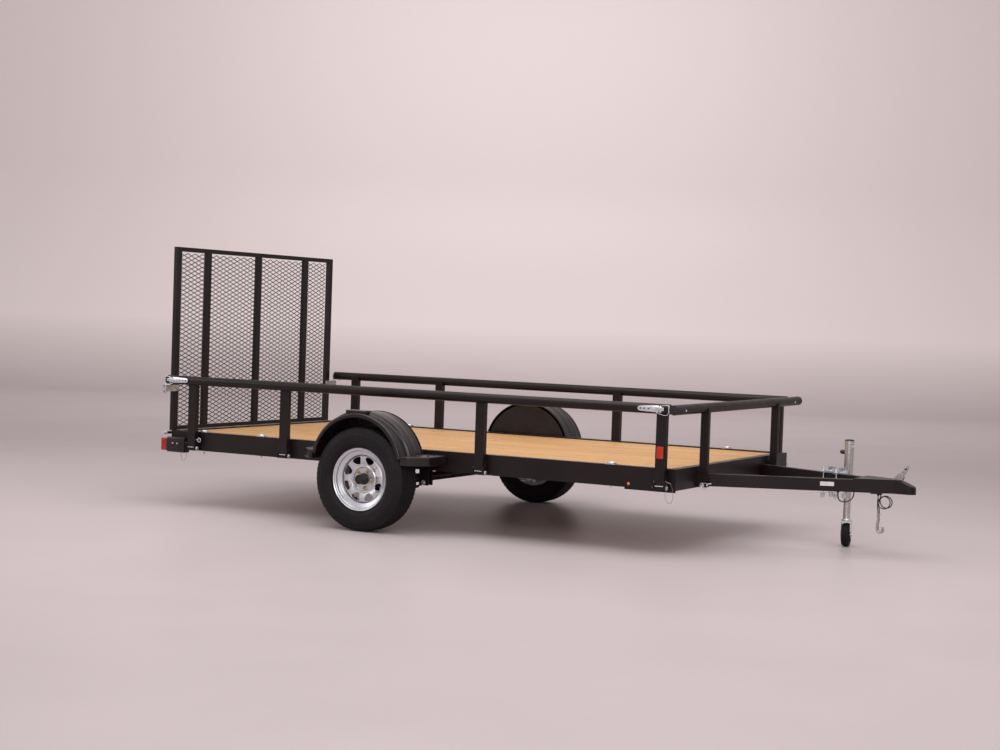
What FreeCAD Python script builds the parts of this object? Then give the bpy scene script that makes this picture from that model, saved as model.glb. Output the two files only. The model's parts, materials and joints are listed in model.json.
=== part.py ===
"""Single-axle utility trailer with a ramp gate, folding side rails, a folding front rail and a swivel jack.

Frame: +X points forward to the coupler, +Y to the trailer's left, +Z up. The origin is on the ground at
the middle of the whole trailer. All sizes are millimetres and stand in the sheet below.
"""
import FreeCAD, Part
import math
import os
import re

import Sketcher

Vector = FreeCAD.Vector
Rotation = FreeCAD.Rotation

os.makedirs("parts", exist_ok=True)
doc = FreeCAD.newDocument("utility_trailer")

# Driving sizes: name, value
SIZES = {
    # bed
    "bed_length": 3810, "bed_width": 1930, "side_depth": 128, "beam_width": 50, "beam_wall": 5,
    "weld_gap": 0.2, "plank_thickness": 38, "deck_recess": 8, "plank_count": 10, "plank_gap": 3,
    "cross_depth": 76, "cross_width": 40, "cross_wall": 4, "cross_count": 6,
    "corner_plate_length": 330, "corner_plate_drop": 12, "corner_plate_wall": 5,
    "edge_strip_width": 45, "edge_strip_thickness": 3,
    # tongue and coupler
    "tongue_angle": 25, "tongue_depth": 76, "tongue_width": 50, "coupler_tip_ahead": 1165,
    "coupler_nose_reach": 133, "coupler_length": 345, "coupler_rise": 8, "coupler_nose_width": 84,
    "coupler_nose_height": 50, "coupler_wall": 5, "coupler_slope_length": 105, "ball_radius": 25.4,
    "ball_clearance": 0.6, "socket_depth": 34, "lever_height": 92, "lever_width": 34, "lever_lean": 28,
    # safety cables and wiring
    "cable_radius": 3.2, "cable_side": 26, "cable_plate_behind": 196, "cable_plate_length": 54,
    "cable_plate_wall": 6, "gland_radius": 8, "gland_length": 14, "hook_length": 108, "hook_width": 11,
    "hook_wall": 8, "hook_throat": 22, "ferrule_radius": 6, "ferrule_length": 20, "wire_radius": 3.8,
    "wire_ahead": 133.5, "wire_gland": 8,
    # running gear
    "axle_behind_middle": 135, "wheel_beside": 211, "tyre_side": 128, "tyre_width": 200,
    "rim_radius": 203, "rim_inset": 18, "rim_flange": 17, "rim_wall": 4, "rim_well": 28,
    "disc_crown": 20, "disc_wall": 5, "disc_pad_radius": 86, "window_count": 8, "window_width": 34,
    "hub_flange_radius": 70, "hub_flange": 12, "hub_radius": 37, "hub_inboard": 40,
    "hub_outboard": 42, "cap_radius": 31, "nut_circle": 57.15, "nut_radius": 10.5,
    "nut_length": 17, "nut_count": 5, "nut_turn": 27, "axle_tube_radius": 30, "axle_drop": 35,
    "spindle_radius": 19, "spindle_clearance": 0.05, "spindle_flange_radius": 44,
    "spindle_flange": 8, "spring_half_span": 290, "spring_rise": 58, "spring_width": 45,
    "leaf_thickness": 8, "leaf_count": 3, "spring_inset": 45, "eye_radius": 17,
    "eye_pin_radius": 8, "hanger_wall": 5, "hanger_length": 70, "hanger_height": 84, "spring_seat": 12,
    # fenders
    "fender_clearance": 25, "fender_behind_wheel": 20, "fender_lift": 76, "fender_wall": 5,
    "fender_gap": 45, "fender_beside_tyre": 7, "front_foot_length": 134,
    "rear_foot_length": 105, "fender_foot_drop": 58, "fender_foot_below": 25,
    "fender_shelf": 84, "fender_step": 14, "foot_reach": 215, "foot_chamfer": 102, "pad_length": 150,
    "pad_width": 62, "pad_rise": 4,
    # side rails and their ears
    "rail_above_fender": 116, "rail_radius": 30.2, "rail_offset": 50, "rail_front_inset": 30,
    "rail_rear_inset": 2, "post_length": 63, "post_thickness": 38, "post_offset": 32,
    "post_below_pin": 13, "ear_pin_rise": 16, "ear_pin_radius": 6.5, "ear_wall": 7, "ear_gap": 1.5,
    "ear_height": 88, "pin_clearance": 0.05, "bolt_head_radius": 10, "bolt_head_length": 7,
    "rear_post_inset": 214, "post_rear_middle": 913, "post_front_middle": 593,
    "front_corner_inset": 83, "latch_length": 150, "latch_height": 40, "latch_wall": 4,
    "reflector_width": 44, "reflector_height": 72, "reflector_depth": 7, "reflector_rise": 97,
    # front rail
    "front_rail_ahead": 24, "front_rail_overhang": 119, "front_post_offset": 614,
    "front_post_length": 50, "front_post_thickness": 33, "front_post_gap": 9,
    # ramp gate
    "gate_inset": 19, "gate_height": 1281, "gate_bar_width": 50, "gate_bar_depth": 30,
    "gate_rail_depth": 30, "gate_inner_bar": 592, "hinge_drop": 18, "hinge_behind": 22,
    "barrel_radius": 16, "barrel_bite": 1, "lug_radius": 14, "barrel_length": 90, "barrel_gap": 2,
    "hinge_pin_radius": 9, "mesh_thickness": 3, "catch_below_rail": 62, "catch_depth": 44,
    "catch_wall": 5, "catch_beyond": 20, "catch_hook": 24, "mesh_columns": 12, "mesh_rows": 20,
    "mesh_strand": 8,
    # lamps, markers and tie-down rings
    "lamp_drop": 18, "lens_inset": 8,
    "lamp_length": 151, "lamp_depth": 104, "lamp_reach": 62, "lens_length": 57, "lamp_inset": 162,
    "ring_radius": 24, "ring_wire": 5, "rear_ring_step": 56, "middle_ring_step": 232,
    "front_ring_step": 347, "ring_plate": 60, "ring_plate_wall": 4, "marker_radius": 12,
    "marker_depth": 10, "marker_inset": 301, "marker_rise": 22,
    # jack
    "jack_ahead": 600, "jack_offset": 92, "jack_tube_radius": 28.5, "jack_tube_wall": 5.6,
    "jack_rise": 245, "jack_tube_below": 62, "jack_pivot_rise": 35, "jack_plate_length": 140,
    "jack_plate_above": 36, "jack_plate_wall": 6, "jack_disc_radius": 26, "jack_disc_wall": 8,
    "jack_disc_gap": 0.3, "jack_leg_gap": 0.4, "jack_plate_behind": 15, "clamp_spacing": 110,
    "clamp_rod": 5, "caster_radius": 75, "caster_width": 48, "caster_axle_radius": 7,
    "caster_trail": 10, "fork_wall": 5, "fork_gap": 4, "caster_turn": 8, "crank_drop": 75,
    "crank_radius": 13, "crank_length": 42, "leg_overlap": 100, "cap_height": 12, "cap_rim": 2,
    "overrun": 10,
}

# Places worked out from the driving sizes
DERIVED = {
    "half_length": "bed_length / 2",
    "half_width": "bed_width / 2",
    "tyre_radius": "rim_radius + tyre_side",
    "wheel_height": "tyre_radius",
    "wheel_middle": "half_width + wheel_beside",
    "axle_height": "wheel_height - axle_drop",
    "axle_end_inset": "hub_inboard + 2 * spindle_flange",
    "spring_middle": "half_width - spring_inset",
    "spring_top": "axle_height - axle_tube_radius - spring_seat",
    "eye_height": "spring_top + spring_rise",
    "frame_bottom": "eye_height + hanger_height",
    "frame_top": "frame_bottom + side_depth",
    "deck_top": "frame_top - deck_recess",
    "inner_width": "bed_width - 2 * beam_width",
    "inner_length": "bed_length - 2 * beam_width",
    "cross_top": "deck_top - plank_thickness",
    "tongue_top": "frame_bottom + tongue_depth",
    "tongue_spread": "2 * (coupler_tip_ahead - coupler_nose_reach) * tan(tongue_angle) + coupler_nose_width",
    "front_reach": "half_length + coupler_tip_ahead",
    "coupler_rear": "front_reach - coupler_length",
    "coupler_top": "tongue_top + coupler_rise",
    "gate_hinge_x": "half_length + hinge_behind",
    "rear_reach": "gate_hinge_x + barrel_radius",
    "bed_centre": "(rear_reach - front_reach) / 2",
    "rim_width": "tyre_width - 2 * rim_inset",
    "bead_radius": "rim_radius - rim_flange",
    "disc_edge": "bead_radius - rim_well - rim_wall",
    "window_radius": "(disc_pad_radius + disc_edge) / 2",
    "fender_radius": "tyre_radius + fender_clearance",
    "fender_centre_height": "wheel_height + fender_lift",
    "fender_reach": "wheel_middle + tyre_width / 2 + fender_beside_tyre",
    "fender_front_foot": "fender_radius + front_foot_length",
    "fender_rear_foot": "fender_radius + rear_foot_length",
    "fender_foot_height": "frame_top - fender_foot_below",
    "rail_height": "fender_centre_height + fender_radius + rail_above_fender",
    "rail_middle": "half_width + rail_offset",
    "rail_front_end": "half_length - rail_front_inset",
    "rail_rear_end": "half_length - rail_rear_inset",
    "post_middle": "half_width + post_offset",
    "post_rear": "half_length - rear_post_inset",
    "post_front": "half_length - front_corner_inset",
    "ear_pin_height": "frame_bottom + ear_pin_rise",
    "post_foot": "ear_pin_height - post_below_pin",
    "ear_lip": "post_thickness / 2 + ear_pin_radius",
    "reflector_above": "frame_top + reflector_rise",
    "front_rail_x": "half_length + front_rail_ahead",
    "front_rail_half": "half_width + front_rail_overhang",
    "front_post_x": "half_length + front_post_gap + front_post_length / 2",
    "hinge_height": "frame_top - hinge_drop",
    "gate_half_width": "half_width - gate_inset",
    "stile_inside": "gate_half_width - gate_bar_width",
    "gate_bottom": "hinge_height + barrel_radius - barrel_bite",
    "gate_top": "gate_bottom + gate_height",
    "catch_height": "rail_height - catch_below_rail",
    "catch_reach": "rail_middle + catch_beyond",
    "lamp_behind": "half_length - lamp_inset",
    "ring_rear": "post_rear - rear_ring_step",
    "ring_middle": "post_rear_middle + middle_ring_step",
    "ring_front": "post_front - front_ring_step",
    "marker_ahead": "half_length - marker_inset",
    "jack_face_x": "half_length + jack_ahead",
    "jack_face_y": "tongue_spread / 2 - jack_ahead * tan(tongue_angle)",
    "jack_pivot_height": "frame_bottom + jack_pivot_rise",
    "jack_top": "jack_pivot_height + jack_rise",
    "jack_leg_radius": "jack_tube_radius - jack_tube_wall - jack_leg_gap",
    "crank_height": "jack_top - crank_drop",
    "fork_top": "2 * caster_radius + fork_gap + 2 * fork_wall",
}

# Shares of the sizes that they multiply, and bulges of arcs as shares of half their chord
LEAF_STEP_SHARE = 0.22
TYRE_BULGE_SHARES = (0.42, 0.2)
SHOULDER_SHARES = (0.965, 0.43)
TREAD_SHARE = 0.33
LINER_SHARES = ((0.7, 0.38), (0.85, 0.42), (0.955, 0.3))
WINDOW_SHARES = (0.22, 0.38, 0.56, 0.44)
WINDOW_RISES = (-0.62, -0.44, 0.40, 0.62)
WINDOW_BULGES = (0.35, 0, 0.35, 0.1, 0.35, 0, 0.35, 0.1)
CAP_SHARE = 0.8
NOSE_BULGE_SHARE = 0.4
EAR_BULGE_SHARE = 0.35
SADDLE_SHARE = 0.7
FORK_SHARES = (1.3, 0.8)
FORK_BULGE_SHARE = 0.9
CASTER_CROWN_SHARE = 0.93
ARC_SHARE = 0.45
HOOK_BULGE_SHARE = 0.94

# The right safety cable's route from its gland: ahead, left and up, with one loop and down to the hook
CABLE_ROUTE = ((0, 0, 0), (0, 0, -17), (-3, -2, -36), (1, -2, -55), (13, -2, -71), (31, -1, -79),
               (51, 0, -77), (67, 2, -65), (75, 4, -47), (73, 6, -27), (61, 8, -11), (43, 10, -3),
               (23, 11, -5), (7, 12, -17), (-3, 12, -34), (-6, 12, -54), (-5, 12, -74), (-1, 11, -93),
               (-1, 11, -111))
# The wiring's route from its gland in the left beam to its gland in the right beam: ahead, left and up
WIRE_ROUTE = ((0, 0, 0), (0, 0, -18), (1, -8, -36), (2, -27, -51), (5, -60, -60), (8, -110, -65),
              (6, -160, -67), (3, -210, -65), (0, -253, -59), (-2, -286, -50), (-3, -304, -36),
              (-4, -312, -18), (-4, -312, 0))

sheet = doc.addObject("Spreadsheet::Sheet", "Sizes")
row = 0
for alias, value in list(SIZES.items()) + [(name, "=" + text) for name, text in DERIVED.items()]:
    row += 1
    sheet.set(f"A{row}", alias)
    sheet.set(f"B{row}", str(value))
    sheet.setAlias(f"B{row}", alias)
doc.recompute()

ALIAS = re.compile(r"\b(" + "|".join(list(SIZES) + list(DERIVED)) + r")\b")
PLANES = {
    "XY": Rotation(),
    "XZ": Rotation(Vector(1, 0, 0), 90),
    "YZ": Rotation(Vector(1, 1, 1), 120),
}
AXES = {
    "X": Rotation(Vector(0, 1, 0), 90),
    "Y": Rotation(Vector(1, 0, 0), -90),
    "Z": Rotation(),
}
QUARTER = math.tan(math.radians(90) / 4)
CABLE_START = "front_reach - cable_plate_behind - cable_plate_length / 2"
WIRE_START = "jack_face_x + wire_ahead"
WIRE_SIDE = "(jack_face_y - wire_ahead * tan(tongue_angle) - tongue_width / 2)"
subparts = []
number = doc.addObject("App::FeaturePython", "number")
number.addProperty("App::PropertyFloat", "result")


def rule(text):
    """An expression on the sheet from a text in plain size names."""
    return ALIAS.sub(r"Sizes.\1", str(text))


def bind(thing, prop, text):
    thing.setExpression(prop, rule(text))


def size(text):
    """The value of an expression, read back from the document."""
    bind(number, "result", text)
    number.recompute()
    return number.result


def place(thing, x=0, y=0, z=0):
    for letter, text in zip("xyz", (x, y, z)):
        bind(thing, f"Placement.Base.{letter}", text)
    return thing


def block(x, y, z):
    """A box between two named places along each axis."""
    thing = doc.addObject("Part::Box", "block")
    for prop, (low, high) in zip(("Length", "Width", "Height"), (x, y, z)):
        bind(thing, prop, f"({high}) - ({low})")
    return place(thing, x[0], y[0], z[0])


def rod(axis, radius, along, u, v):
    """A round bar along one axis; u and v are its places on the other two axes."""
    thing = doc.addObject("Part::Cylinder", "rod")
    bind(thing, "Radius", radius)
    bind(thing, "Height", f"({along[1]}) - ({along[0]})")
    thing.Placement.Rotation = AXES[axis]
    spots = {"X": (along[0], u, v), "Y": (u, along[0], v), "Z": (u, v, along[0])}[axis]
    return place(thing, *spots)


def join(*things):
    thing = doc.addObject("Part::MultiFuse", "join")
    thing.Shapes = list(things)
    thing.Refine = True
    return thing


def cut(base, *tools):
    thing = doc.addObject("Part::Cut", "cut")
    thing.Base = base
    thing.Tool = tools[0] if len(tools) == 1 else join(*tools)
    return thing


def group(*things):
    thing = doc.addObject("Part::Compound", "group")
    thing.Links = list(things)
    return thing


def mirror(thing):
    """The same piece on the other side of the trailer's middle plane."""
    other = doc.addObject("Part::Mirroring", "mirror")
    other.Source = thing
    other.Normal = Vector(0, 1, 0)
    return other


def draw(sketch, points):
    """Draw a closed outline: each point is (u, v) or (u, v, bulge share) for an arc to the next point."""
    spots = [Vector(size(point[0]), size(point[1]), 0) for point in points]
    ends = []
    for i, point in enumerate(points):
        start, end = spots[i], spots[(i + 1) % len(points)]
        bulge = point[2] if len(point) > 2 else 0
        if bulge:
            chord = end - start
            middle = (start + end) * 0.5 + Vector(chord.y, -chord.x, 0) * (bulge / 2)
            if bulge > 0:
                edge = sketch.addGeometry(Part.Arc(start, middle, end), False)
                ends.append((edge, (1, 2)))
            else:
                edge = sketch.addGeometry(Part.Arc(end, middle, start), False)
                ends.append((edge, (2, 1)))
        else:
            edge = sketch.addGeometry(Part.LineSegment(start, end), False)
            ends.append((edge, (1, 2)))
    for i, point in enumerate(points):
        edge, (first, last) = ends[i]
        following, (next_first, _) = ends[(i + 1) % len(points)]
        sketch.addConstraint(Sketcher.Constraint("Coincident", edge, last, following, next_first))
        for kind, text, at in (("DistanceX", point[0], spots[i].x), ("DistanceY", point[1], spots[i].y)):
            index = sketch.addConstraint(Sketcher.Constraint(kind, -1, 1, edge, first, at))
            bind(sketch, f"Constraints[{index}]", text)
        if len(point) > 2 and point[2]:
            after = points[(i + 1) % len(points)]
            chord = f"sqrt((({after[0]}) - ({point[0]})) ^ 2 + (({after[1]}) - ({point[1]})) ^ 2)"
            text = f"{chord} * {(1 + point[2] ** 2) / (4 * abs(point[2]))}"
            index = sketch.addConstraint(Sketcher.Constraint("Radius", edge, size(text)))
            bind(sketch, f"Constraints[{index}]", text)


def prism(plane, points, low, high):
    """An outline in one plane, carried from one named place to another along the third axis."""
    sketch = doc.addObject("Sketcher::SketchObject", "outline")
    sketch.Placement = FreeCAD.Placement(Vector(), PLANES[plane])
    draw(sketch, points)
    thing = doc.addObject("Part::Extrusion", "prism")
    thing.Base = sketch
    thing.DirMode = "Custom"
    thing.Dir = {"XY": Vector(0, 0, 1), "XZ": Vector(0, 1, 0), "YZ": Vector(1, 0, 0)}[plane]
    thing.Solid = True
    bind(thing, "LengthFwd", f"({high}) - ({low})")
    letter = {"XY": "z", "XZ": "y", "YZ": "x"}[plane]
    return place(thing, **{letter: low})


def body_sketch(body, role, points):
    sketch = body.newObject("Sketcher::SketchObject", "profile")
    plane = [item for item in body.Origin.OriginFeatures if item.Role == role][0]
    sketch.AttachmentSupport = [(plane, "")]
    sketch.MapMode = "FlatFace"
    draw(sketch, points)
    return sketch


def turned(points, count=0, window=None):
    """A body turned about the Y axis from an outline in radius and width, with windows if any."""
    body = doc.addObject("PartDesign::Body", "turned")
    sketch = body_sketch(body, "XY_Plane", points)
    turn = body.newObject("PartDesign::Revolution", "turn")
    turn.Profile = sketch
    turn.ReferenceAxis = (sketch, ["V_Axis"])
    turn.Angle = 360
    doc.recompute()
    if window:
        opening = body_sketch(body, "XZ_Plane", window)
        pocket = body.newObject("PartDesign::Pocket", "window")
        pocket.Profile = opening
        pocket.Type = "ThroughAll"
        pocket.Midplane = True
        doc.recompute()
        pattern = body.newObject("PartDesign::PolarPattern", "windows")
        pattern.Originals = [pocket]
        pattern.Axis = ([item for item in body.Origin.OriginFeatures if item.Role == "Y_Axis"][0], [""])
        pattern.Angle = 360
        bind(pattern, "Occurrences", count)
        body.Tip = pattern
    return body


def subpart(label, *things):
    """One named sub-part, moved from the bed's middle to the middle of the whole trailer."""
    thing = group(*things)
    thing.Label = label
    place(thing, "bed_centre")
    subparts.append(thing)
    return thing


def both_sides(label, *things):
    """A sub-part on the right and its mirror image on the left."""
    whole = things[0] if len(things) == 1 else group(*things)
    subpart(f"{label}_right", whole)
    subpart(f"{label}_left", mirror(whole))


def channel(side, wall, depth, low, high):
    """A channel's outline: its web stands at side[0] and its flanges reach to side[1]."""
    web, lip = side
    inner = f"({web}) + ({wall}) * {1 if size(lip) > size(web) else -1}"
    return [(web, low), (lip, low), (lip, f"{low} + {wall}"), (inner, f"{low} + {wall}"),
            (inner, f"{high} - {wall}"), (lip, f"{high} - {wall}"), (lip, high), (web, high)]


# Bed frame: two side channels, front and rear channels between them, cross members and planks
def bed_frame():
    side = prism("YZ", channel(("-half_width", "-half_width + beam_width"), "beam_wall", "side_depth",
                               "frame_bottom", "frame_top"), "-half_length", "half_length")
    plate = block(("half_length - corner_plate_length", "half_length"),
                  ("-half_width", "-half_width + corner_plate_wall"),
                  ("frame_bottom - corner_plate_drop", "frame_bottom + corner_plate_wall"))
    ends = [block(span, ("-half_width", "-inner_width / 2"), ("frame_bottom", "frame_top"))
            for span in (("half_length - beam_wall", "half_length"),
                         ("-half_length", "-half_length + beam_wall"))]
    both_sides("side_beam", join(side, plate, *ends))
    across = ("-inner_width / 2 + weld_gap", "inner_width / 2 - weld_gap")
    front = prism("XZ", channel(("half_length", "half_length - beam_width"), "beam_wall", "side_depth",
                                "frame_bottom", "frame_top"), *across)
    subpart("front_beam", front)
    rear = prism("XZ", channel(("-half_length", "-half_length + beam_width"), "beam_wall", "side_depth",
                               "frame_bottom", "frame_top"), *across)
    subpart("rear_beam", rear)
    members = []
    for i in range(int(size("cross_count"))):
        middle = f"inner_length * ({i} + 0.5) / cross_count - inner_length / 2"
        web = f"{middle} - cross_width / 2"
        outline = channel((web, f"{middle} + cross_width / 2"), "cross_wall", "cross_depth",
                          "cross_top - cross_depth", "cross_top")
        members.append(prism("XZ", outline, "-half_width + beam_wall + weld_gap",
                             "half_width - beam_wall - weld_gap"))
    subpart("cross_members", *members)
    planks = []
    for i in range(int(size("plank_count"))):
        pitch = "inner_width / plank_count"
        low = f"-inner_width / 2 + {pitch} * {i} + plank_gap / 2"
        planks.append(block(("-inner_length / 2 + plank_gap", "inner_length / 2 - plank_gap"),
                            (low, f"{low} + {pitch} - plank_gap"), ("cross_top", "deck_top")))
    subpart("deck_planks", *planks)
    subpart("deck_edge_strip", block(("-half_length", "-half_length + edge_strip_width"),
                                     across, ("frame_top", "frame_top + edge_strip_thickness")))


# Tongue: two beams at the coupler's angle, cut flush on the front channel
def tongue():
    reach = "half_length + (tongue_spread / 2 - coupler_nose_width / 2) / tan(tongue_angle)"
    slope = "tan(tongue_angle)"
    skew = "tongue_width / cos(tongue_angle)"
    outer_end = f"-(tongue_spread / 2 - ({reach} - half_length) * {slope})"
    outline = [("half_length", "-tongue_spread / 2"), (reach, outer_end),
               (reach, "-weld_gap"),
               (f"half_length + (tongue_spread / 2 - {skew}) / {slope} - weld_gap / {slope}", "-weld_gap"),
               ("half_length", f"-tongue_spread / 2 + {skew}")]
    beam = prism("XY", outline, "frame_bottom", "tongue_top")
    across = WIRE_ROUTE[-1][1] - WIRE_ROUTE[0][1]
    for label, piece, y in (("right", beam, f"{WIRE_SIDE} + {across}"), ("left", mirror(beam), WIRE_SIDE)):
        x = WIRE_START if label == "left" else f"{WIRE_START} + {WIRE_ROUTE[-1][0]}"
        gland = rod("Z", "gland_radius", ("frame_bottom - wire_gland", "frame_bottom + overrun"), x, y)
        subpart(f"tongue_beam_{label}", join(piece, gland))


def coupler():
    slope = "tan(tongue_angle)"
    side = "coupler_wall / cos(tongue_angle)"

    def wing(x, grow):
        return f"tongue_spread / 2 - ({x} - half_length) * {slope} + {grow}"

    neck = f"half_length + (tongue_spread / 2 + {side} - coupler_nose_width / 2) / {slope}"
    nose = "front_reach - coupler_nose_width / 2"
    half = "coupler_nose_width / 2"
    plan = prism("XY", [("coupler_rear", f"-({wing('coupler_rear', side)})"), (neck, f"-{half}"),
                        (nose, f"-{half}", QUARTER), ("front_reach", 0, QUARTER), (nose, half), (neck, half),
                        ("coupler_rear", wing("coupler_rear", side))],
                 "frame_bottom - overrun", "coupler_top + overrun")
    nose_top = "frame_bottom + coupler_nose_height"
    profile = prism("XZ", [("coupler_rear", "frame_bottom"), ("front_reach", "frame_bottom"),
                           ("front_reach", f"{nose_top} - coupler_nose_height / 2", NOSE_BULGE_SHARE),
                           ("front_reach - coupler_nose_height / 2", nose_top),
                           ("front_reach - coupler_slope_length", "coupler_top"),
                           ("coupler_rear", "coupler_top")],
                    f"-({wing('coupler_rear', side)}) - overrun", f"{wing('coupler_rear', side)} + overrun")
    shell = doc.addObject("Part::MultiCommon", "shell")
    shell.Shapes = [plan, profile]
    inner_end = f"half_length + (tongue_spread / 2 - coupler_nose_width / 2) / {slope} + weld_gap"
    gap = "weld_gap"
    cavity = prism("XY", [("coupler_rear - overrun", f"-({wing('(coupler_rear - overrun)', gap)})"),
                          (inner_end, f"-({wing(inner_end, gap)})"), (inner_end, wing(inner_end, gap)),
                          ("coupler_rear - overrun", wing("(coupler_rear - overrun)", gap))],
                   "frame_bottom - overrun", "tongue_top + weld_gap")
    socket = rod("Z", "ball_radius + ball_clearance",
                 ("frame_bottom - overrun", "frame_bottom + socket_depth"),
                 nose, 0)
    ahead = "(front_reach - cable_plate_behind)"
    rear = "(front_reach - cable_plate_behind - cable_plate_length)"
    plate = prism("XY", [(rear, f"-({wing(rear, side)})"), (ahead, f"-({wing(ahead, side)})"),
                         (ahead, wing(ahead, side)), (rear, wing(rear, side))],
                  "frame_bottom - cable_plate_wall", "frame_bottom")
    glands = [rod("Z", "gland_radius", ("frame_bottom - cable_plate_wall - gland_length",
                                        "frame_bottom - cable_plate_wall"), CABLE_START, f"{sign} cable_side")
              for sign in ("-", "0 +")]
    subpart("coupler", join(cut(shell, cavity, socket), plate, *glands))
    foot = "front_reach - coupler_slope_length"
    lever = prism("XZ", [(f"{foot} - lever_width", "coupler_top"), (foot, "coupler_top"),
                         (f"{foot} + lever_lean", "coupler_top + lever_height / 2"),
                         (f"{foot} + 2 * lever_lean", "coupler_top + lever_height"),
                         (f"{foot} + lever_lean", "coupler_top + lever_height"),
                         (f"{foot} - lever_width / 2", "coupler_top + lever_height / 2")],
                  "-lever_width / 2", "lever_width / 2")
    subpart("coupler_lever", lever)


def cord(start, route, radius):
    """A tube along a route of points: straight runs joined by arcs as large as the shorter run allows."""
    start = Vector(*(size(text) for text in start))
    points = [start + Vector(*point) for point in route]
    edges, radii, last = [], [], points[0]
    for before, corner, after in zip(points, points[1:], points[2:]):
        back, ahead = before - corner, after - corner
        reach = ARC_SHARE * min(back.Length, ahead.Length)
        half_turn = (math.pi - back.getAngle(ahead)) / 2
        radii.append(reach / math.tan(half_turn))
        first, end = corner + back.normalize() * reach, corner + ahead.normalize() * reach
        inward = (first + end) * 0.5 - corner
        middle = corner + inward.normalize() * (radii[-1] / math.cos(half_turn) - radii[-1])
        edges += [Part.LineSegment(last, first).toShape(), Part.Arc(first, middle, end).toShape()]
        last = end
    edges.append(Part.LineSegment(last, points[-1]).toShape())
    path = Part.Wire(edges)
    ring = Part.Wire([Part.makeCircle(size(radius), points[0], points[1] - points[0])])
    tube = path.makePipeShell([ring], True, True)
    print("cord", round(path.Length, 1), "mm, radii", [round(value) for value in radii],
          "volume share", round(tube.Volume / (math.pi * size(radius) ** 2 * path.Length), 4))
    thing = doc.addObject("Part::Feature", "cord")
    thing.Shape = tube
    return thing


# Safety cables with their hooks, and the wiring that hangs between the tongue beams
def cables():
    foot = "frame_bottom - cable_plate_wall - gland_length"
    side = "-cable_side"
    both_sides("safety_cable", cord((CABLE_START, side, foot), CABLE_ROUTE, "cable_radius"))
    ahead, left, up = CABLE_ROUTE[-1]
    x, y, top = f"({CABLE_START} + {ahead})", f"({side} + {left})", f"({foot} + {up})"
    ferrule = rod("Z", "ferrule_radius", (f"{top} - ferrule_length", top), x, y)
    neck = f"({top} - ferrule_length)"
    out, back = f"{x} + hook_width / 2", f"{x} - hook_width / 2"
    toe = f"{out} + hook_throat"
    low = f"{neck} - hook_length"
    hook = prism("XZ", [(back, f"{neck} + hook_width / 2"), (back, f"{low} + hook_throat", HOOK_BULGE_SHARE),
                        (f"{toe} + hook_width", f"{low} + hook_throat"),
                        (f"{toe} + hook_width", f"{low} + 2 * hook_throat"),
                        (toe, f"{low} + 2 * hook_throat"),
                        (toe, f"{low} + hook_throat", -HOOK_BULGE_SHARE), (out, f"{low} + hook_throat"),
                        (out, f"{neck} + hook_width / 2")],
                 f"{y} - hook_wall / 2", f"{y} + hook_wall / 2")
    both_sides("safety_hook", join(ferrule, hook))
    start = (WIRE_START, WIRE_SIDE, "frame_bottom - wire_gland")
    subpart("wiring_loop", cord(start, WIRE_ROUTE, "wire_radius"))


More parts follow.
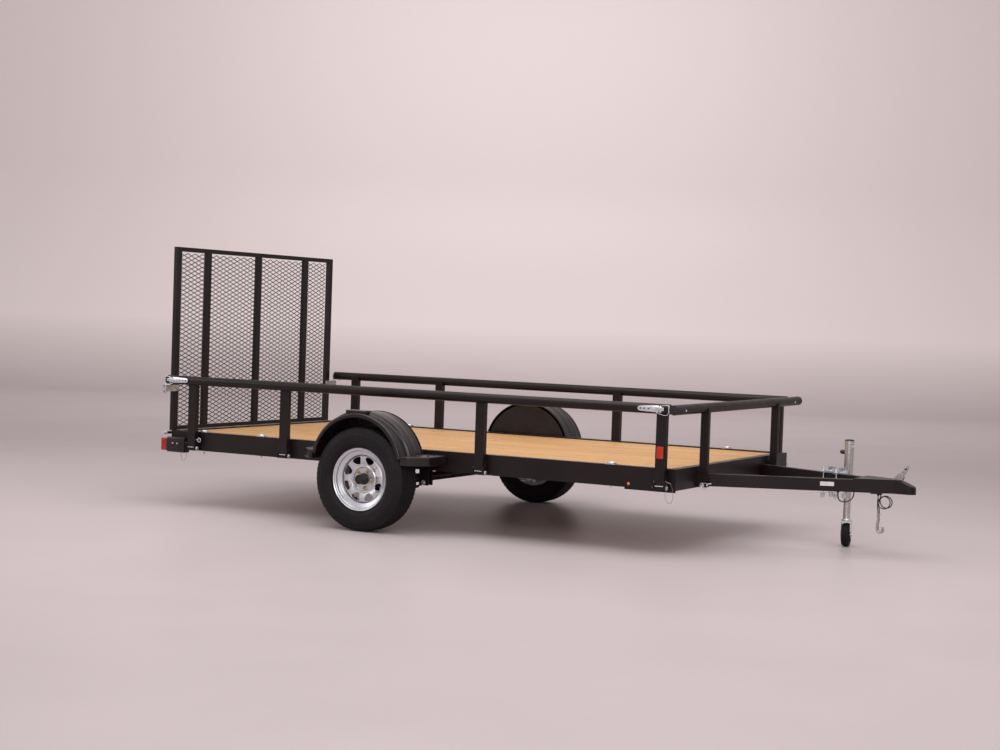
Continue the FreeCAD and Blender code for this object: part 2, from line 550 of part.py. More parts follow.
# Running gear: axle tube with spindles, leaf springs and hangers
def running_gear():
    x = "-axle_behind_middle"
    end = "wheel_middle - axle_end_inset"
    tube = rod("Y", "axle_tube_radius", (f"-({end})", end), x, "axle_height")
    pieces = [tube]
    for sign in ("-", ""):
        low, high = (f"{sign}({end})", f"{sign}(wheel_middle - hub_inboard - spindle_flange)")
        tip = f"{sign}(wheel_middle + hub_outboard / 2)"
        if sign:
            low, high = high, low
            pieces.append(rod("Y", "spindle_radius", (tip, low), x, "wheel_height"))
        else:
            pieces.append(rod("Y", "spindle_radius", (high, tip), x, "wheel_height"))
        pieces.append(rod("Y", "spindle_flange_radius", (low, high), x, "wheel_height"))
    subpart("axle_beam", join(*pieces))
    leaves = []
    for i in range(int(size("leaf_count"))):
        reach = f"spring_half_span * (1 - {LEAF_STEP_SHARE} * {i})"
        rise = f"spring_rise * (1 - {LEAF_STEP_SHARE} * {i}) ^ 2"
        top = f"spring_top - leaf_thickness * {i}"
        bow = size(rise) / size(reach)
        leaves.append(prism("XZ", [(f"{x} - {reach}", f"{top} + {rise} - leaf_thickness", bow),
                                   (f"{x} + {reach}", f"{top} + {rise} - leaf_thickness"),
                                   (f"{x} + {reach}", f"{top} + {rise}", -bow),
                                   (f"{x} - {reach}", f"{top} + {rise}")],
                            "-spring_middle - spring_width / 2", "-spring_middle + spring_width / 2"))
    width = ("-spring_middle - spring_width / 2", "-spring_middle + spring_width / 2")
    eyes = [rod("Y", "eye_radius", width, f"{x} {sign} spring_half_span", "eye_height") for sign in "+-"]
    holes = [rod("Y", "eye_pin_radius + pin_clearance",
                 (f"{width[0]} - overrun", f"{width[1]} + overrun"),
                 f"{x} {sign} spring_half_span", "eye_height") for sign in "+-"]
    seat = block((f"{x} - spring_width / 2", f"{x} + spring_width / 2"), width,
                 ("spring_top - leaf_thickness", "axle_height - axle_tube_radius + weld_gap"))
    saddle = rod("Y", "axle_tube_radius + weld_gap", (f"{width[0]} - overrun", f"{width[1]} + overrun"),
                 x, "axle_height")
    both_sides("leaf_spring", cut(join(*leaves, *eyes, seat), *holes, saddle))
    hangers = []
    for sign in "+-":
        middle = f"{x} {sign} spring_half_span"
        span = (f"{middle} - hanger_length / 2", f"{middle} + hanger_length / 2")
        walls = [block(span, (f"-spring_middle {side} (spring_width / 2 + {near})",
                              f"-spring_middle {side} (spring_width / 2 + {far})"),
                       ("eye_height - eye_radius", "frame_bottom"))
                 for side, near, far in (("-", "hanger_wall + weld_gap", "weld_gap"),
                                         ("+", "weld_gap", "hanger_wall + weld_gap"))]
        roof = block(span, ("-spring_middle - spring_width / 2 - hanger_wall - weld_gap",
                            "-spring_middle + spring_width / 2 + hanger_wall + weld_gap"),
                     ("frame_bottom - hanger_wall", "frame_bottom"))
        pin = rod("Y", "eye_pin_radius", ("-spring_middle - spring_width / 2 - 2 * hanger_wall",
                                          "-spring_middle + spring_width / 2 + 2 * hanger_wall"),
                  middle, "eye_height")
        hangers.append(join(*walls, roof, pin))
    both_sides("spring_hangers", *hangers)


# Wheels: tyre, spoked disc rim and hub, all turned about the wheel's own axis
def wheels():
    half = "rim_width / 2"
    bead = "rim_width / 2 - 2 * rim_wall"
    side_bulge, shoulder_bulge = TYRE_BULGE_SHARES
    shoulder, shoulder_out = (f"tyre_radius * {SHOULDER_SHARES[0]}", f"tyre_width * {SHOULDER_SHARES[1]}")
    tread = f"tyre_width * {TREAD_SHARE}"
    liner = [(f"tyre_radius * {u}", f"tyre_width * {v}") for u, v in LINER_SHARES]
    outer = [("bead_radius + weld_gap", f"-({bead})"), ("rim_radius + rim_wall", f"-({bead})", side_bulge),
             (shoulder, f"-{shoulder_out}", shoulder_bulge), ("tyre_radius", f"-{tread}"),
             ("tyre_radius", tread, shoulder_bulge), (shoulder, shoulder_out, side_bulge),
             ("rim_radius + rim_wall", bead), ("bead_radius + weld_gap", bead),
             ("bead_radius + weld_gap", f"{bead} - 3 * rim_wall"),
             *liner, *[(u, f"-{v}") for u, v in liner[::-1]],
             ("bead_radius + weld_gap", f"-({bead} - 3 * rim_wall)")]
    tyre = turned(outer)
    well = "bead_radius - rim_well"
    slant = "rim_width / 2 - 6 * rim_wall"
    outside = [("rim_radius", f"-{half}"), ("rim_radius", f"-{half} + rim_wall"),
               ("bead_radius", f"-{half} + 2 * rim_wall"), ("bead_radius", f"-({slant})"),
               (well, f"-({slant}) + 4 * rim_wall"), (well, f"{slant} - 4 * rim_wall"),
               ("bead_radius", slant), ("bead_radius", f"{half} - 2 * rim_wall"),
               ("rim_radius", f"{half} - rim_wall"), ("rim_radius", half)]
    inside = [(f"{u} - rim_wall", v) for u, v in outside[1:-1]]
    inside[0] = ("rim_radius - rim_wall", f"-{half}")
    inside[-1] = ("rim_radius - rim_wall", half)
    inside[1] = ("bead_radius - rim_wall", f"-{half} + rim_wall")
    inside[-2] = ("bead_radius - rim_wall", f"{half} - rim_wall")
    barrel = turned(outside + inside[::-1])
    crown = "(disc_edge + disc_pad_radius) / 2"
    window = [(f"{sign}window_width * {share}", f"window_radius + (disc_edge - disc_pad_radius) / 2 * {rise}")
              for sign, share, rise in zip("----++++", WINDOW_SHARES + WINDOW_SHARES[::-1],
                                           WINDOW_RISES + WINDOW_RISES[::-1])]
    window = [(u, v, bulge) for (u, v), bulge in zip(window[::-1], WINDOW_BULGES)]
    disc = turned([("hub_radius + weld_gap", 0), ("hub_radius + weld_gap", "-disc_wall"),
                   ("disc_pad_radius", "-disc_wall"), (crown, "-disc_wall - disc_crown"),
                   ("disc_edge + rim_wall / 2", "-disc_wall - disc_crown / 2"),
                   ("disc_edge + rim_wall / 2", "-disc_crown / 2"), (crown, "-disc_crown"),
                   ("disc_pad_radius", 0)],
                  "window_count", window)
    disc = place(group(disc))
    disc.Placement.Rotation = Rotation(Vector(0, 1, 0), 1)
    disc.setExpression("Placement.Rotation.Angle", rule("180 / window_count"))
    hub_body = turned([("spindle_radius + spindle_clearance", "hub_inboard"),
                       ("spindle_radius + spindle_clearance", "-hub_outboard / 2 - spindle_clearance"),
                       (0, "-hub_outboard / 2 - spindle_clearance"), (0, "-rim_width / 2"),
                       (f"cap_radius * {CAP_SHARE}", "-rim_width / 2"),
                       ("cap_radius", "-rim_width / 2 + cap_radius / 4"),
                       ("cap_radius", "-hub_outboard"), ("hub_radius", "-hub_outboard"), ("hub_radius", 0),
                       ("hub_flange_radius", 0), ("hub_flange_radius", "hub_flange"),
                       ("hub_radius", "hub_flange"), ("hub_radius", "hub_inboard")])
    nuts, holes = [], []
    for i in range(int(size("nut_count"))):
        turn = f"(nut_turn + 360 * {i} / nut_count)"
        spot = (f"nut_circle * sin({turn})", f"nut_circle * cos({turn})")
        nuts.append(rod("Y", "nut_radius",
                        ("-disc_wall - weld_gap - nut_length", "-disc_wall - weld_gap"), *spot))
        nuts.append(rod("Y", "nut_radius / 2", ("-disc_wall - nut_length", "weld_gap"), *spot))
        holes.append(rod("Y", "nut_radius / 2 + weld_gap", ("-disc_wall - overrun", "overrun"), *spot))
    rim = cut(join(barrel, disc), *holes)
    for label, thing in (("tyre", tyre), ("rim", rim), ("hub", join(hub_body, *nuts))):
        wheel = group(thing)
        place(wheel, "-axle_behind_middle", "-wheel_middle", "wheel_height")
        both_sides(label, wheel)


# Fenders: a raised band, a lower shelf and a pad over the wheel, an inner wall and two feet
def fenders():
    x = "(-axle_behind_middle - fender_behind_wheel)"
    inner, outer = "half_width + fender_gap", "fender_reach"
    low_radius = "(fender_radius - fender_step)"

    def arch(radius, low, high):
        return rod("Y", radius, (f"-({high})", f"-({low})"), x, "fender_centre_height")

    def foot(end, grow, low, high):
        """A foot's plan carried between two heights: straight end, slanted corner, straight outer edge."""
        sign = "+" if end == "fender_front_foot" else "-"
        tip = f"{x} {sign} ({end} - {grow})"
        side = f"-(half_width + foot_reach - {grow})"
        outer_edge = f"-(fender_reach - {grow})"
        outline = [(x, "-half_width - weld_gap"), (tip, "-half_width - weld_gap"), (tip, side),
                   (f"{tip} - ({sign}foot_chamfer)", outer_edge), (x, outer_edge)]
        return prism("XY", outline if sign == "-" else outline[::-1], low, high)

    trim = block((f"{x} - 2 * fender_radius", f"{x} + 2 * fender_radius"),
                 ("-fender_reach - overrun", "-half_width"), ("0", "fender_foot_height - fender_wall"))
    band = arch("fender_radius", inner, f"{outer} - fender_shelf")
    shelf = arch(low_radius, f"{outer} - fender_shelf - overrun", outer)
    pad = block((f"{x} - pad_length / 2", f"{x} + pad_length / 2"),
                (f"-{outer} + fender_shelf - pad_width - overrun", f"-{outer} + fender_shelf + pad_width"),
                ("fender_centre_height", f"fender_centre_height + {low_radius} + fender_step + pad_rise"))
    feet = []
    for end in ("fender_front_foot", "fender_rear_foot"):
        block_foot = foot(end, "0", "fender_foot_height - fender_foot_drop", "fender_foot_height")
        hollow = foot(end, "fender_wall", "fender_foot_height - fender_foot_drop - overrun",
                      "fender_foot_height - fender_wall")
        feet.append(cut(block_foot, hollow))
    bay = arch(f"{low_radius} - fender_wall", f"{inner} + fender_wall", f"{outer} + overrun")
    whole = cut(join(cut(join(band, shelf, pad), trim), *feet), bay)
    both_sides("fender", whole)


# Side rails: a round tube on four posts, each hung on a pin between two ears
def side_rails():
    posts = ("-post_rear", "-post_rear_middle", "post_front_middle", "post_front")
    ears, legs, holes, pins = [], [], [], []
    for x in posts:
        for side in "-+":
            near = f"{x} {side} (post_length / 2 + ear_gap)"
            far = f"{x} {side} (post_length / 2 + ear_gap + ear_wall)"
            low, high = (far, near) if side == "-" else (near, far)
            ears.append(prism("YZ", [("-half_width", "ear_pin_height - ear_lip / 2"),
                                     ("-half_width", "ear_pin_height - ear_lip / 2 + ear_height"),
                                     ("-post_middle", "ear_pin_height - ear_lip / 2 + ear_height",
                                      -EAR_BULGE_SHARE),
                                     ("-post_middle - ear_lip", "ear_pin_height + ear_lip"),
                                     ("-post_middle - ear_lip", "ear_pin_height - ear_lip / 2")], low, high))
        reach = "post_length / 2 + ear_gap + ear_wall"
        pins.append(rod("X", "ear_pin_radius", (f"{x} - ({reach}) - bolt_head_length",
                                                f"{x} + {reach}"), "-post_middle", "ear_pin_height"))
        pins.append(rod("X", "bolt_head_radius", (f"{x} + {reach}", f"{x} + {reach} + bolt_head_length"),
                        "-post_middle", "ear_pin_height"))
        legs.append(block((f"{x} - post_length / 2", f"{x} + post_length / 2"),
                          ("-post_middle - post_thickness / 2", "-post_middle + post_thickness / 2"),
                          ("post_foot", "rail_height")))
        holes.append(rod("X", "ear_pin_radius + pin_clearance",
                         (f"{x} - post_length", f"{x} + post_length"), "-post_middle", "ear_pin_height"))
    both_sides("post_ears", join(*ears, *pins))
    tube = rod("X", "rail_radius", ("-rail_rear_end", "rail_front_end"), "-rail_middle", "rail_height")
    both_sides("side_rail", cut(join(tube, *legs), *holes))
    latches = []
    for low, high in (("rail_front_end - latch_length", "rail_front_end - latch_wall"),
                      ("-rail_rear_end + latch_wall", "-rail_rear_end + latch_length")):
        plate = block((low, high), ("-rail_middle - rail_radius - latch_wall", "-rail_middle"),
                      ("rail_height - latch_height / 2", "rail_height + latch_height / 2"))
        latches.append(cut(plate, rod("X", "rail_radius + weld_gap", ("-rail_rear_end - overrun",
                                                                      "rail_front_end + overrun"),
                                      "-rail_middle", "rail_height")))
    both_sides("rail_latches", *latches)
    face = "-post_middle - post_thickness / 2"
    reflector = block(("post_front - reflector_width / 2", "post_front + reflector_width / 2"),
                      (f"{face} - reflector_depth", f"{face}"),
                      ("reflector_above - reflector_height / 2", "reflector_above + reflector_height / 2"))
    both_sides("rail_reflector", reflector)


# Front rail: a round tube across the front on two posts that fold forward
def front_rail():
    x = "front_post_x"
    ears, legs, holes = [], [], []
    for sign in "-+":
        y = f"{sign} front_post_offset".replace("+ ", "")
        for side in "-+":
            near = f"{y} {side} (front_post_thickness / 2 + ear_gap)"
            far = f"{y} {side} (front_post_thickness / 2 + ear_gap + ear_wall)"
            low, high = (far, near) if side == "-" else (near, far)
            ears.append(prism("XZ", [("half_length", "ear_pin_height - ear_lip / 2"),
                                     (f"{x} + ear_lip", "ear_pin_height - ear_lip / 2"),
                                     (f"{x} + ear_lip", "ear_pin_height + ear_lip", EAR_BULGE_SHARE),
                                     (x, "ear_pin_height - ear_lip / 2 + ear_height"),
                                     ("half_length", "ear_pin_height - ear_lip / 2 + ear_height")],
                              low, high))
        reach = "front_post_thickness / 2 + ear_gap + ear_wall + bolt_head_length"
        ears.append(rod("Y", "ear_pin_radius", (f"{y} - ({reach})", f"{y} + {reach}"), x, "ear_pin_height"))
        legs.append(block((f"{x} - front_post_length / 2", f"{x} + front_post_length / 2"),
                          (f"{y} - front_post_thickness / 2", f"{y} + front_post_thickness / 2"),
                          ("post_foot", "rail_height")))
        holes.append(rod("Y", "ear_pin_radius + pin_clearance",
                         (f"{y} - front_post_thickness", f"{y} + front_post_thickness"), x, "ear_pin_height"))
    subpart("front_post_ears", join(*ears))
    tube = rod("Y", "rail_radius", ("-front_rail_half", "front_rail_half"), "front_rail_x", "rail_height")
    subpart("front_rail", cut(join(tube, *legs), *holes))


# Ramp gate: stiles, rails and inner bars with mesh between them, hung on a rod through barrels
def ramp_gate():
    x = "-gate_hinge_x"
    depth = (f"{x} - gate_bar_depth / 2", f"{x} + gate_bar_depth / 2")
    bars = [block(depth, ("-gate_half_width", "gate_half_width"), span)
            for span in (("gate_bottom", "gate_bottom + gate_rail_depth"),
                         ("gate_top - gate_rail_depth", "gate_top"))]
    for low in ("-gate_half_width", "-gate_inner_bar - gate_bar_width / 2", "-gate_bar_width / 2",
                "gate_inner_bar - gate_bar_width / 2", "stile_inside"):
        bars.append(block(depth, (low, f"{low} + gate_bar_width"), ("gate_bottom", "gate_top")))
    barrels, holes, fixed = [], [], []
    for y in ("-gate_half_width + barrel_length", "-gate_inner_bar / 2", "gate_inner_bar / 2",
              "gate_half_width - barrel_length"):
        span = (f"{y} - barrel_length / 2", f"{y} + barrel_length / 2")
        barrels.append(rod("Y", "barrel_radius", span, x, "hinge_height"))
        holes.append(rod("Y", "hinge_pin_radius + pin_clearance",
                         (f"{y} - barrel_length", f"{y} + barrel_length"), x, "hinge_height"))
        lug = (f"{y} + barrel_length / 2 + barrel_gap", f"{y} + barrel_length * 3 / 4 + barrel_gap")
        fixed.append(rod("Y", "lug_radius", lug, x, "hinge_height"))
        fixed.append(block((x, "-half_length"), lug, ("hinge_height - lug_radius", "hinge_height")))
    subpart("gate_frame", cut(join(*bars, *barrels), *holes))
    fixed.append(rod("Y", "hinge_pin_radius", ("-gate_half_width - barrel_length / 2",
                                               "gate_half_width + barrel_length / 2"), x, "hinge_height"))
    subpart("gate_hinge", join(*fixed))
    pitch, rise = "(2 * stile_inside / mesh_columns)", "((gate_top - gate_bottom) / mesh_rows)"
    slant = f"(mesh_strand / 2 * sqrt(1 + ({pitch} / {rise}) ^ 2))"
    lift = f"(mesh_strand / 2 * sqrt(1 + ({rise} / {pitch}) ^ 2))"
    diamond = prism("YZ", [(f"-{pitch} / 2 + {slant}", "gate_bottom"),
                           ("0", f"gate_bottom - {rise} / 2 + {lift}"),
                           (f"{pitch} / 2 - {slant}", "gate_bottom"),
                           ("0", f"gate_bottom + {rise} / 2 - {lift}")],
                    f"{x} - mesh_thickness", f"{x} + mesh_thickness")
    openings = []
    for row in range(2 * int(size("mesh_rows")) + 1):
        for column in range(int(size("mesh_columns")) // 2 + 1):
            copy = group(diamond)
            openings.append(place(copy, 0, f"{pitch} * ({column} + {row % 2} / 2)", f"{rise} / 2 * {row}"))
    holes = group(*openings)
    panels = []
    for low, high in (("gate_bar_width / 2", "gate_inner_bar - gate_bar_width / 2"),
                      ("gate_inner_bar + gate_bar_width / 2", "stile_inside")):
        sheet_panel = block((f"{x} - mesh_thickness / 2", f"{x} + mesh_thickness / 2"),
                            (f"{low} + weld_gap", f"{high} - weld_gap"),
                            ("gate_bottom + gate_rail_depth + weld_gap",
                             "gate_top - gate_rail_depth - weld_gap"))
        panels.append(cut(sheet_panel, holes))
    subpart("gate_mesh", *panels, *[mirror(panel) for panel in panels])
    face = f"{x} + gate_bar_depth / 2"
    height = ("catch_height - catch_depth / 2", "catch_height + catch_depth / 2")
    arm = block((face, f"{face} + catch_wall"), ("-catch_reach", "-gate_half_width + gate_bar_width"), height)
    hook = block((f"{face} - catch_hook", face), ("-catch_reach", "-catch_reach + catch_wall"), height)
    catch = join(arm, hook)
    subpart("gate_catches", catch, mirror(catch))


# Lamps, markers and tie-down rings
def fittings():
    span = ("-lamp_behind - lamp_length", "-lamp_behind")
    box = block(span, ("-half_width - lamp_reach", "-half_width"),
                ("frame_bottom - lamp_drop", "frame_bottom - lamp_drop + lamp_depth"))
    both_sides("tail_lamp_box", box)
    lens = block(("-lamp_behind - lamp_length - lens_length", "-lamp_behind - lamp_length"),
                 ("-half_width - lamp_reach + corner_plate_wall", "-half_width - weld_gap"),
                 ("frame_bottom - lamp_drop + lens_inset",
                  "frame_bottom - lamp_drop + lamp_depth - lens_inset"))
    both_sides("tail_lamp_lens", lens)
    marker = rod("Y", "marker_radius", ("-half_width - marker_depth", "-half_width"),
                 "marker_ahead", "frame_bottom + marker_rise")
    both_sides("side_marker", marker)
    rings = []
    for x in ("-ring_rear", "-ring_middle", "ring_front"):
        plate = block((f"{x} - ring_plate / 2", f"{x} + ring_plate / 2"),
                      ("-half_width + ring_wire / 2", "-half_width + beam_width - ring_wire / 2"),
                      ("frame_top", "frame_top + ring_plate_wall"))
        ring = doc.addObject("Part::Torus", "ring")
        bind(ring, "Radius1", "ring_radius")
        bind(ring, "Radius2", "ring_wire")
        place(ring, x, "-half_width + beam_width / 2", "frame_top + ring_plate_wall + ring_wire - weld_gap")
        rings.append(join(plate, ring))
    both_sides("tie_down_rings", *rings)


# Swivel jack on the left tongue beam: its own frame runs along the beam and out from its face
def jack():
    def beside_beam(thing):
        frame = group(thing)
        frame.Placement.Rotation = Rotation(Vector(0, 0, -1), 1)
        frame.setExpression("Placement.Rotation.Angle", rule("tongue_angle"))
        return place(frame, "jack_face_x", "jack_face_y")

    middle = "-jack_plate_behind"
    plate = block((f"{middle} - jack_plate_length / 2", f"{middle} + jack_plate_length / 2"),
                  (0, "jack_plate_wall"), ("frame_bottom", "tongue_top + jack_plate_above"))
    disc = rod("Y", "jack_disc_radius", ("jack_plate_wall", "jack_plate_wall + jack_disc_wall"),
               0, "jack_pivot_height")
    pin = rod("Y", "hinge_pin_radius", (0, "jack_plate_wall + 4 * jack_disc_wall"), 0, "jack_pivot_height")
    clamps = []
    for sign in "-+":
        x = f"{middle} {sign} clamp_spacing / 2"
        bar = (f"{x} - 3 * clamp_rod", f"{x} + 3 * clamp_rod")
        across = ("-tongue_width - 4 * clamp_rod", "jack_plate_wall + 4 * clamp_rod")
        clamps.append(block(bar, across, ("tongue_top + weld_gap", "tongue_top + 2 * clamp_rod")))
        clamps.append(block(bar, across, ("frame_bottom - 2 * clamp_rod", "frame_bottom - weld_gap")))
        for y in ("-tongue_width - 2 * clamp_rod", "jack_plate_wall + 2 * clamp_rod"):
            clamps.append(rod("Z", "clamp_rod",
                              ("frame_bottom - 7 * clamp_rod", "tongue_top + 6 * clamp_rod"), x, y))
    subpart("jack_mount", beside_beam(join(plate, disc, pin, *clamps)))
    near = "jack_plate_wall + jack_disc_wall + jack_disc_gap"
    swivel = rod("Y", "jack_disc_radius", (near, f"{near} + jack_disc_wall"), 0, "jack_pivot_height")
    saddle = block((f"-jack_tube_radius * {SADDLE_SHARE}", f"jack_tube_radius * {SADDLE_SHARE}"),
                   (near, "jack_offset - jack_leg_radius"),
                   (f"jack_pivot_height - jack_disc_radius * {SADDLE_SHARE}",
                    f"jack_pivot_height + jack_disc_radius * {SADDLE_SHARE}"))
    tube = rod("Z", "jack_tube_radius", ("jack_pivot_height - jack_tube_below", "jack_top"), 0, "jack_offset")
    bore = rod("Z", "jack_leg_radius + jack_leg_gap", ("jack_pivot_height - jack_tube_below - overrun",
                                                       "jack_top - cap_height"), 0, "jack_offset")
    cap = rod("Z", "jack_tube_radius + cap_rim", ("jack_top - cap_height", "jack_top"), 0, "jack_offset")
    pin_hole = rod("Y", "hinge_pin_radius + pin_clearance",
                   (0, "jack_plate_wall + 4 * jack_disc_wall + overrun / 2"), 0, "jack_pivot_height")
    subpart("jack_tube", beside_beam(cut(join(swivel, saddle, tube, cap), bore, pin_hole)))
    crank = rod("X", "crank_radius", ("-jack_tube_radius - crank_length", "-jack_tube_radius - weld_gap"),
                "jack_offset", "crank_height")
    subpart("jack_crank", beside_beam(crank))
    leg_top = "jack_pivot_height - jack_tube_below + leg_overlap"
    leg = rod("Z", "jack_leg_radius", ("fork_top + jack_disc_gap", leg_top), 0, "jack_offset")
    stem_hole = rod("Z", "hinge_pin_radius + pin_clearance",
                    ("fork_top - overrun", "fork_top + 4 * hinge_pin_radius"), 0, "jack_offset")
    subpart("jack_leg", beside_beam(cut(leg, stem_hole)))

    def below_jack(thing):
        frame = group(thing)
        frame.Placement.Rotation = Rotation(Vector(0, 0, 1), 1)
        frame.setExpression("Placement.Rotation.Angle", rule("caster_turn"))
        return place(frame, "jack_face_x + jack_offset * sin(tongue_angle)",
                     "jack_face_y + jack_offset * cos(tongue_angle)")

    side = "caster_width / 2 + fork_gap"
    waist, toe = (f"caster_radius * {share}" for share in FORK_SHARES)
    cheeks = [prism("YZ", [("-caster_radius / 3", "fork_top - fork_wall"), ("-caster_radius / 3", waist),
                           ("caster_trail - caster_radius / 5", toe, FORK_BULGE_SHARE),
                           ("caster_trail + caster_radius / 5", toe),
                           ("caster_radius / 3", waist), ("caster_radius / 3", "fork_top - fork_wall")],
                    low, high)
              for low, high in ((f"-({side}) - fork_wall", f"-({side})"), (side, f"{side} + fork_wall"))]
    roof = block((f"-({side}) - fork_wall", f"{side} + fork_wall"),
                 ("-caster_radius / 3", "caster_radius / 3"), ("fork_top - fork_wall", "fork_top"))
    stem = rod("Z", "hinge_pin_radius",
               ("fork_top - fork_wall", "fork_top + 4 * hinge_pin_radius - overrun / 5"), 0, 0)
    axle = rod("X", "caster_axle_radius", (f"-({side}) - 2 * fork_wall", f"{side} + 2 * fork_wall"),
               "caster_trail", "caster_radius")
    subpart("caster_fork", below_jack(join(*cheeks, roof, stem, axle)))
    edge = "caster_width / 4"
    wheel = cut(join(rod("X", "caster_radius", (f"-{edge}", edge), "caster_trail", "caster_radius"),
                     rod("X", f"caster_radius * {CASTER_CROWN_SHARE}",
                         ("-caster_width / 2", "caster_width / 2"), "caster_trail", "caster_radius")),
                rod("X", "caster_axle_radius + pin_clearance", ("-caster_width", "caster_width"),
                    "caster_trail", "caster_radius"))
    subpart("caster_wheel", below_jack(wheel))


def check_and_write():
    doc.recompute()
    for thing in doc.Objects:
        if "Invalid" in thing.State or "Error" in thing.State:
            raise RuntimeError(f"{thing.Name} ({thing.Label}) failed: {thing.State}")
    for thing in subparts:
        shape = thing.Shape
        if shape.isNull() or not shape.isValid() or not shape.Solids:
            raise RuntimeError(f"{thing.Label} has no valid shape")
        shape.exportStep(f"parts/{thing.Label}.step")
    print(len(subparts), "sub-parts written")


bed_frame()
tongue()
coupler()
cables()
running_gear()
wheels()
fenders()
side_rails()
front_rail()
ramp_gate()
fittings()
jack()
check_and_write()
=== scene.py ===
"""Looks of a single-axle utility trailer: finishes on the frame's nodes, wheels, fenders, mesh, lamps and fittings.

Every piece is worked out as arrays of points in metres, in the frame's own axes: +X forward, +Y left, +Z up.
"""
import json
import math

import bpy
import numpy as np
from mathutils import Color, Matrix, Vector


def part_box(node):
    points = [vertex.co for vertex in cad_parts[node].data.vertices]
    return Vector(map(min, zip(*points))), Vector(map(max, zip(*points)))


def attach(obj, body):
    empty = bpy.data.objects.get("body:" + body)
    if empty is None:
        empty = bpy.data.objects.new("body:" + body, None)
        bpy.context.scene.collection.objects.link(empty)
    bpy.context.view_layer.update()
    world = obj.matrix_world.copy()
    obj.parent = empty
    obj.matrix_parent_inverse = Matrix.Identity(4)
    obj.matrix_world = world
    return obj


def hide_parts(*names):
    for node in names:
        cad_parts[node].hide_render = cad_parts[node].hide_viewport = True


bl_info = {
    "name": "Utility trailer",
    "version": (1, 0, 0),
    "blender": (4, 5, 0),
    "location": "View3D > Sidebar > Trailer",
    "description": "Builds the visible pieces of a utility trailer on its frame",
    "category": "Object",
}

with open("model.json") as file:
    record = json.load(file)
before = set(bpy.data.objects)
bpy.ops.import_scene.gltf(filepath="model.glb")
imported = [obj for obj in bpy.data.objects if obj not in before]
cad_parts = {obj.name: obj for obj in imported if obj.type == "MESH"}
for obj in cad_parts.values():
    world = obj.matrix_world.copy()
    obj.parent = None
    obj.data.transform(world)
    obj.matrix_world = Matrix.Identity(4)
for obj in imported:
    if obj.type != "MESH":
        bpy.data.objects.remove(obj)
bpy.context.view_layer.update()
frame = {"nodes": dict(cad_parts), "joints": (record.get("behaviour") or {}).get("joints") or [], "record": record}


def low(node):
    """The least x, y and z of a node's box."""
    return np.array(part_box(node)[0])


def high(node):
    """The greatest x, y and z of a node's box."""
    return np.array(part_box(node)[1])


def middle(node):
    """The mean of the two corners of a node's box."""
    return (low(node) + high(node)) / 2


JOINTS = {joint["name"]: joint for joint in frame["joints"]}
SIDES = {"right": -1.0, "left": 1.0}
AHEAD, LEFT, UP = (1, 0, 0), (0, 1, 0), (0, 0, 1)
FULL_TURN = 2 * math.pi
SHARP_EDGE = math.radians(38)
WHEEL = np.array(JOINTS["wheel_right_spin"]["pos_m"])
_, TYRE_HALF, TYRE_RADIUS = map(float, (high("tyre_right") - low("tyre_right")) / 2)
_, RIM_HALF, RIM_RADIUS = map(float, (high("rim_right") - low("rim_right")) / 2)
HUB_END = float(abs(low("hub_right")[1])) - abs(float(WHEEL[1]))
FRAME_BOTTOM = float(low("front_beam")[2])


# Grids of points and the faces between them
def faces_of_grid(rows, columns, wrap_rows=False, wrap_columns=False):
    """Four-cornered faces of a grid of rows times columns points; a wrap joins the last line to the first."""
    i = np.arange(rows if wrap_rows else rows - 1)[:, None]
    j = np.arange(columns if wrap_columns else columns - 1)[None, :]
    following_i, following_j = (i + 1) % rows, (j + 1) % columns
    return np.stack([i * columns + j, following_i * columns + j,
                     following_i * columns + following_j, i * columns + following_j], -1).reshape(-1, 4)


def grid(points, wrap_rows=False, wrap_columns=False):
    """A surface from an array of rows, columns and three coordinates."""
    rows, columns = points.shape[:2]
    return points.reshape(-1, 3), [faces_of_grid(rows, columns, wrap_rows, wrap_columns)]


def fan(ring, inward):
    """Triangles from a closed ring's own centre to each of its sides."""
    count = len(ring)
    around = np.arange(count)
    following = (around + 1) % count
    order = (following, around) if inward else (around, following)
    return np.vstack([ring, ring.mean(0)]), [np.stack([order[0], order[1], np.full(count, count)], -1)]


def flipped(piece):
    """The piece with the corners of each face in the other order."""
    return piece[0], [faces[:, ::-1] for faces in piece[1]]


def together(*pieces):
    """Several pieces as one list of points and one list of faces."""
    points, faces, start = [], [], 0
    for verts, sets in pieces:
        points.append(verts)
        faces += [one + start for one in sets]
        start += len(verts)
    return np.vstack(points), faces


def moved(piece, shift=(0, 0, 0), turn=None):
    """A piece turned by a 3 by 3 matrix about the origin and then shifted."""
    points = piece[0] if turn is None else piece[0] @ np.asarray(turn).T
    return points + np.asarray(shift, float), piece[1]


def mirrored(piece):
    """The piece on the other side of the middle plane, with its faces still pointing outwards."""
    return flipped((piece[0] * (1, -1, 1), piece[1]))


def on_side(piece, sign):
    """A piece made for the +Y side: as it is there, and mirrored where the sign is negative."""
    return piece if sign > 0 else mirrored(piece)


def turn_about(axis, angle):
    """The matrix that turns by an angle about an axis: identity + sin(a) K + (1 - cos(a)) K K, K its cross product."""
    x, y, z = np.asarray(axis, float) / np.linalg.norm(axis)
    cross = np.array([[0, -z, y], [z, 0, -x], [-y, x, 0]])
    return np.eye(3) + math.sin(angle) * cross + (1 - math.cos(angle)) * cross @ cross


def frame_on(axis):
    """Two directions square to an axis and to each other, and the axis: u cross v gives the axis."""
    w = np.asarray(axis, float) / np.linalg.norm(axis)
    helper = np.array([0, 0, 1.0]) if abs(w[2]) < 0.9 else np.array([1.0, 0, 0])
    u = np.cross(helper, w)
    u /= np.linalg.norm(u)
    return u, np.cross(w, u), w


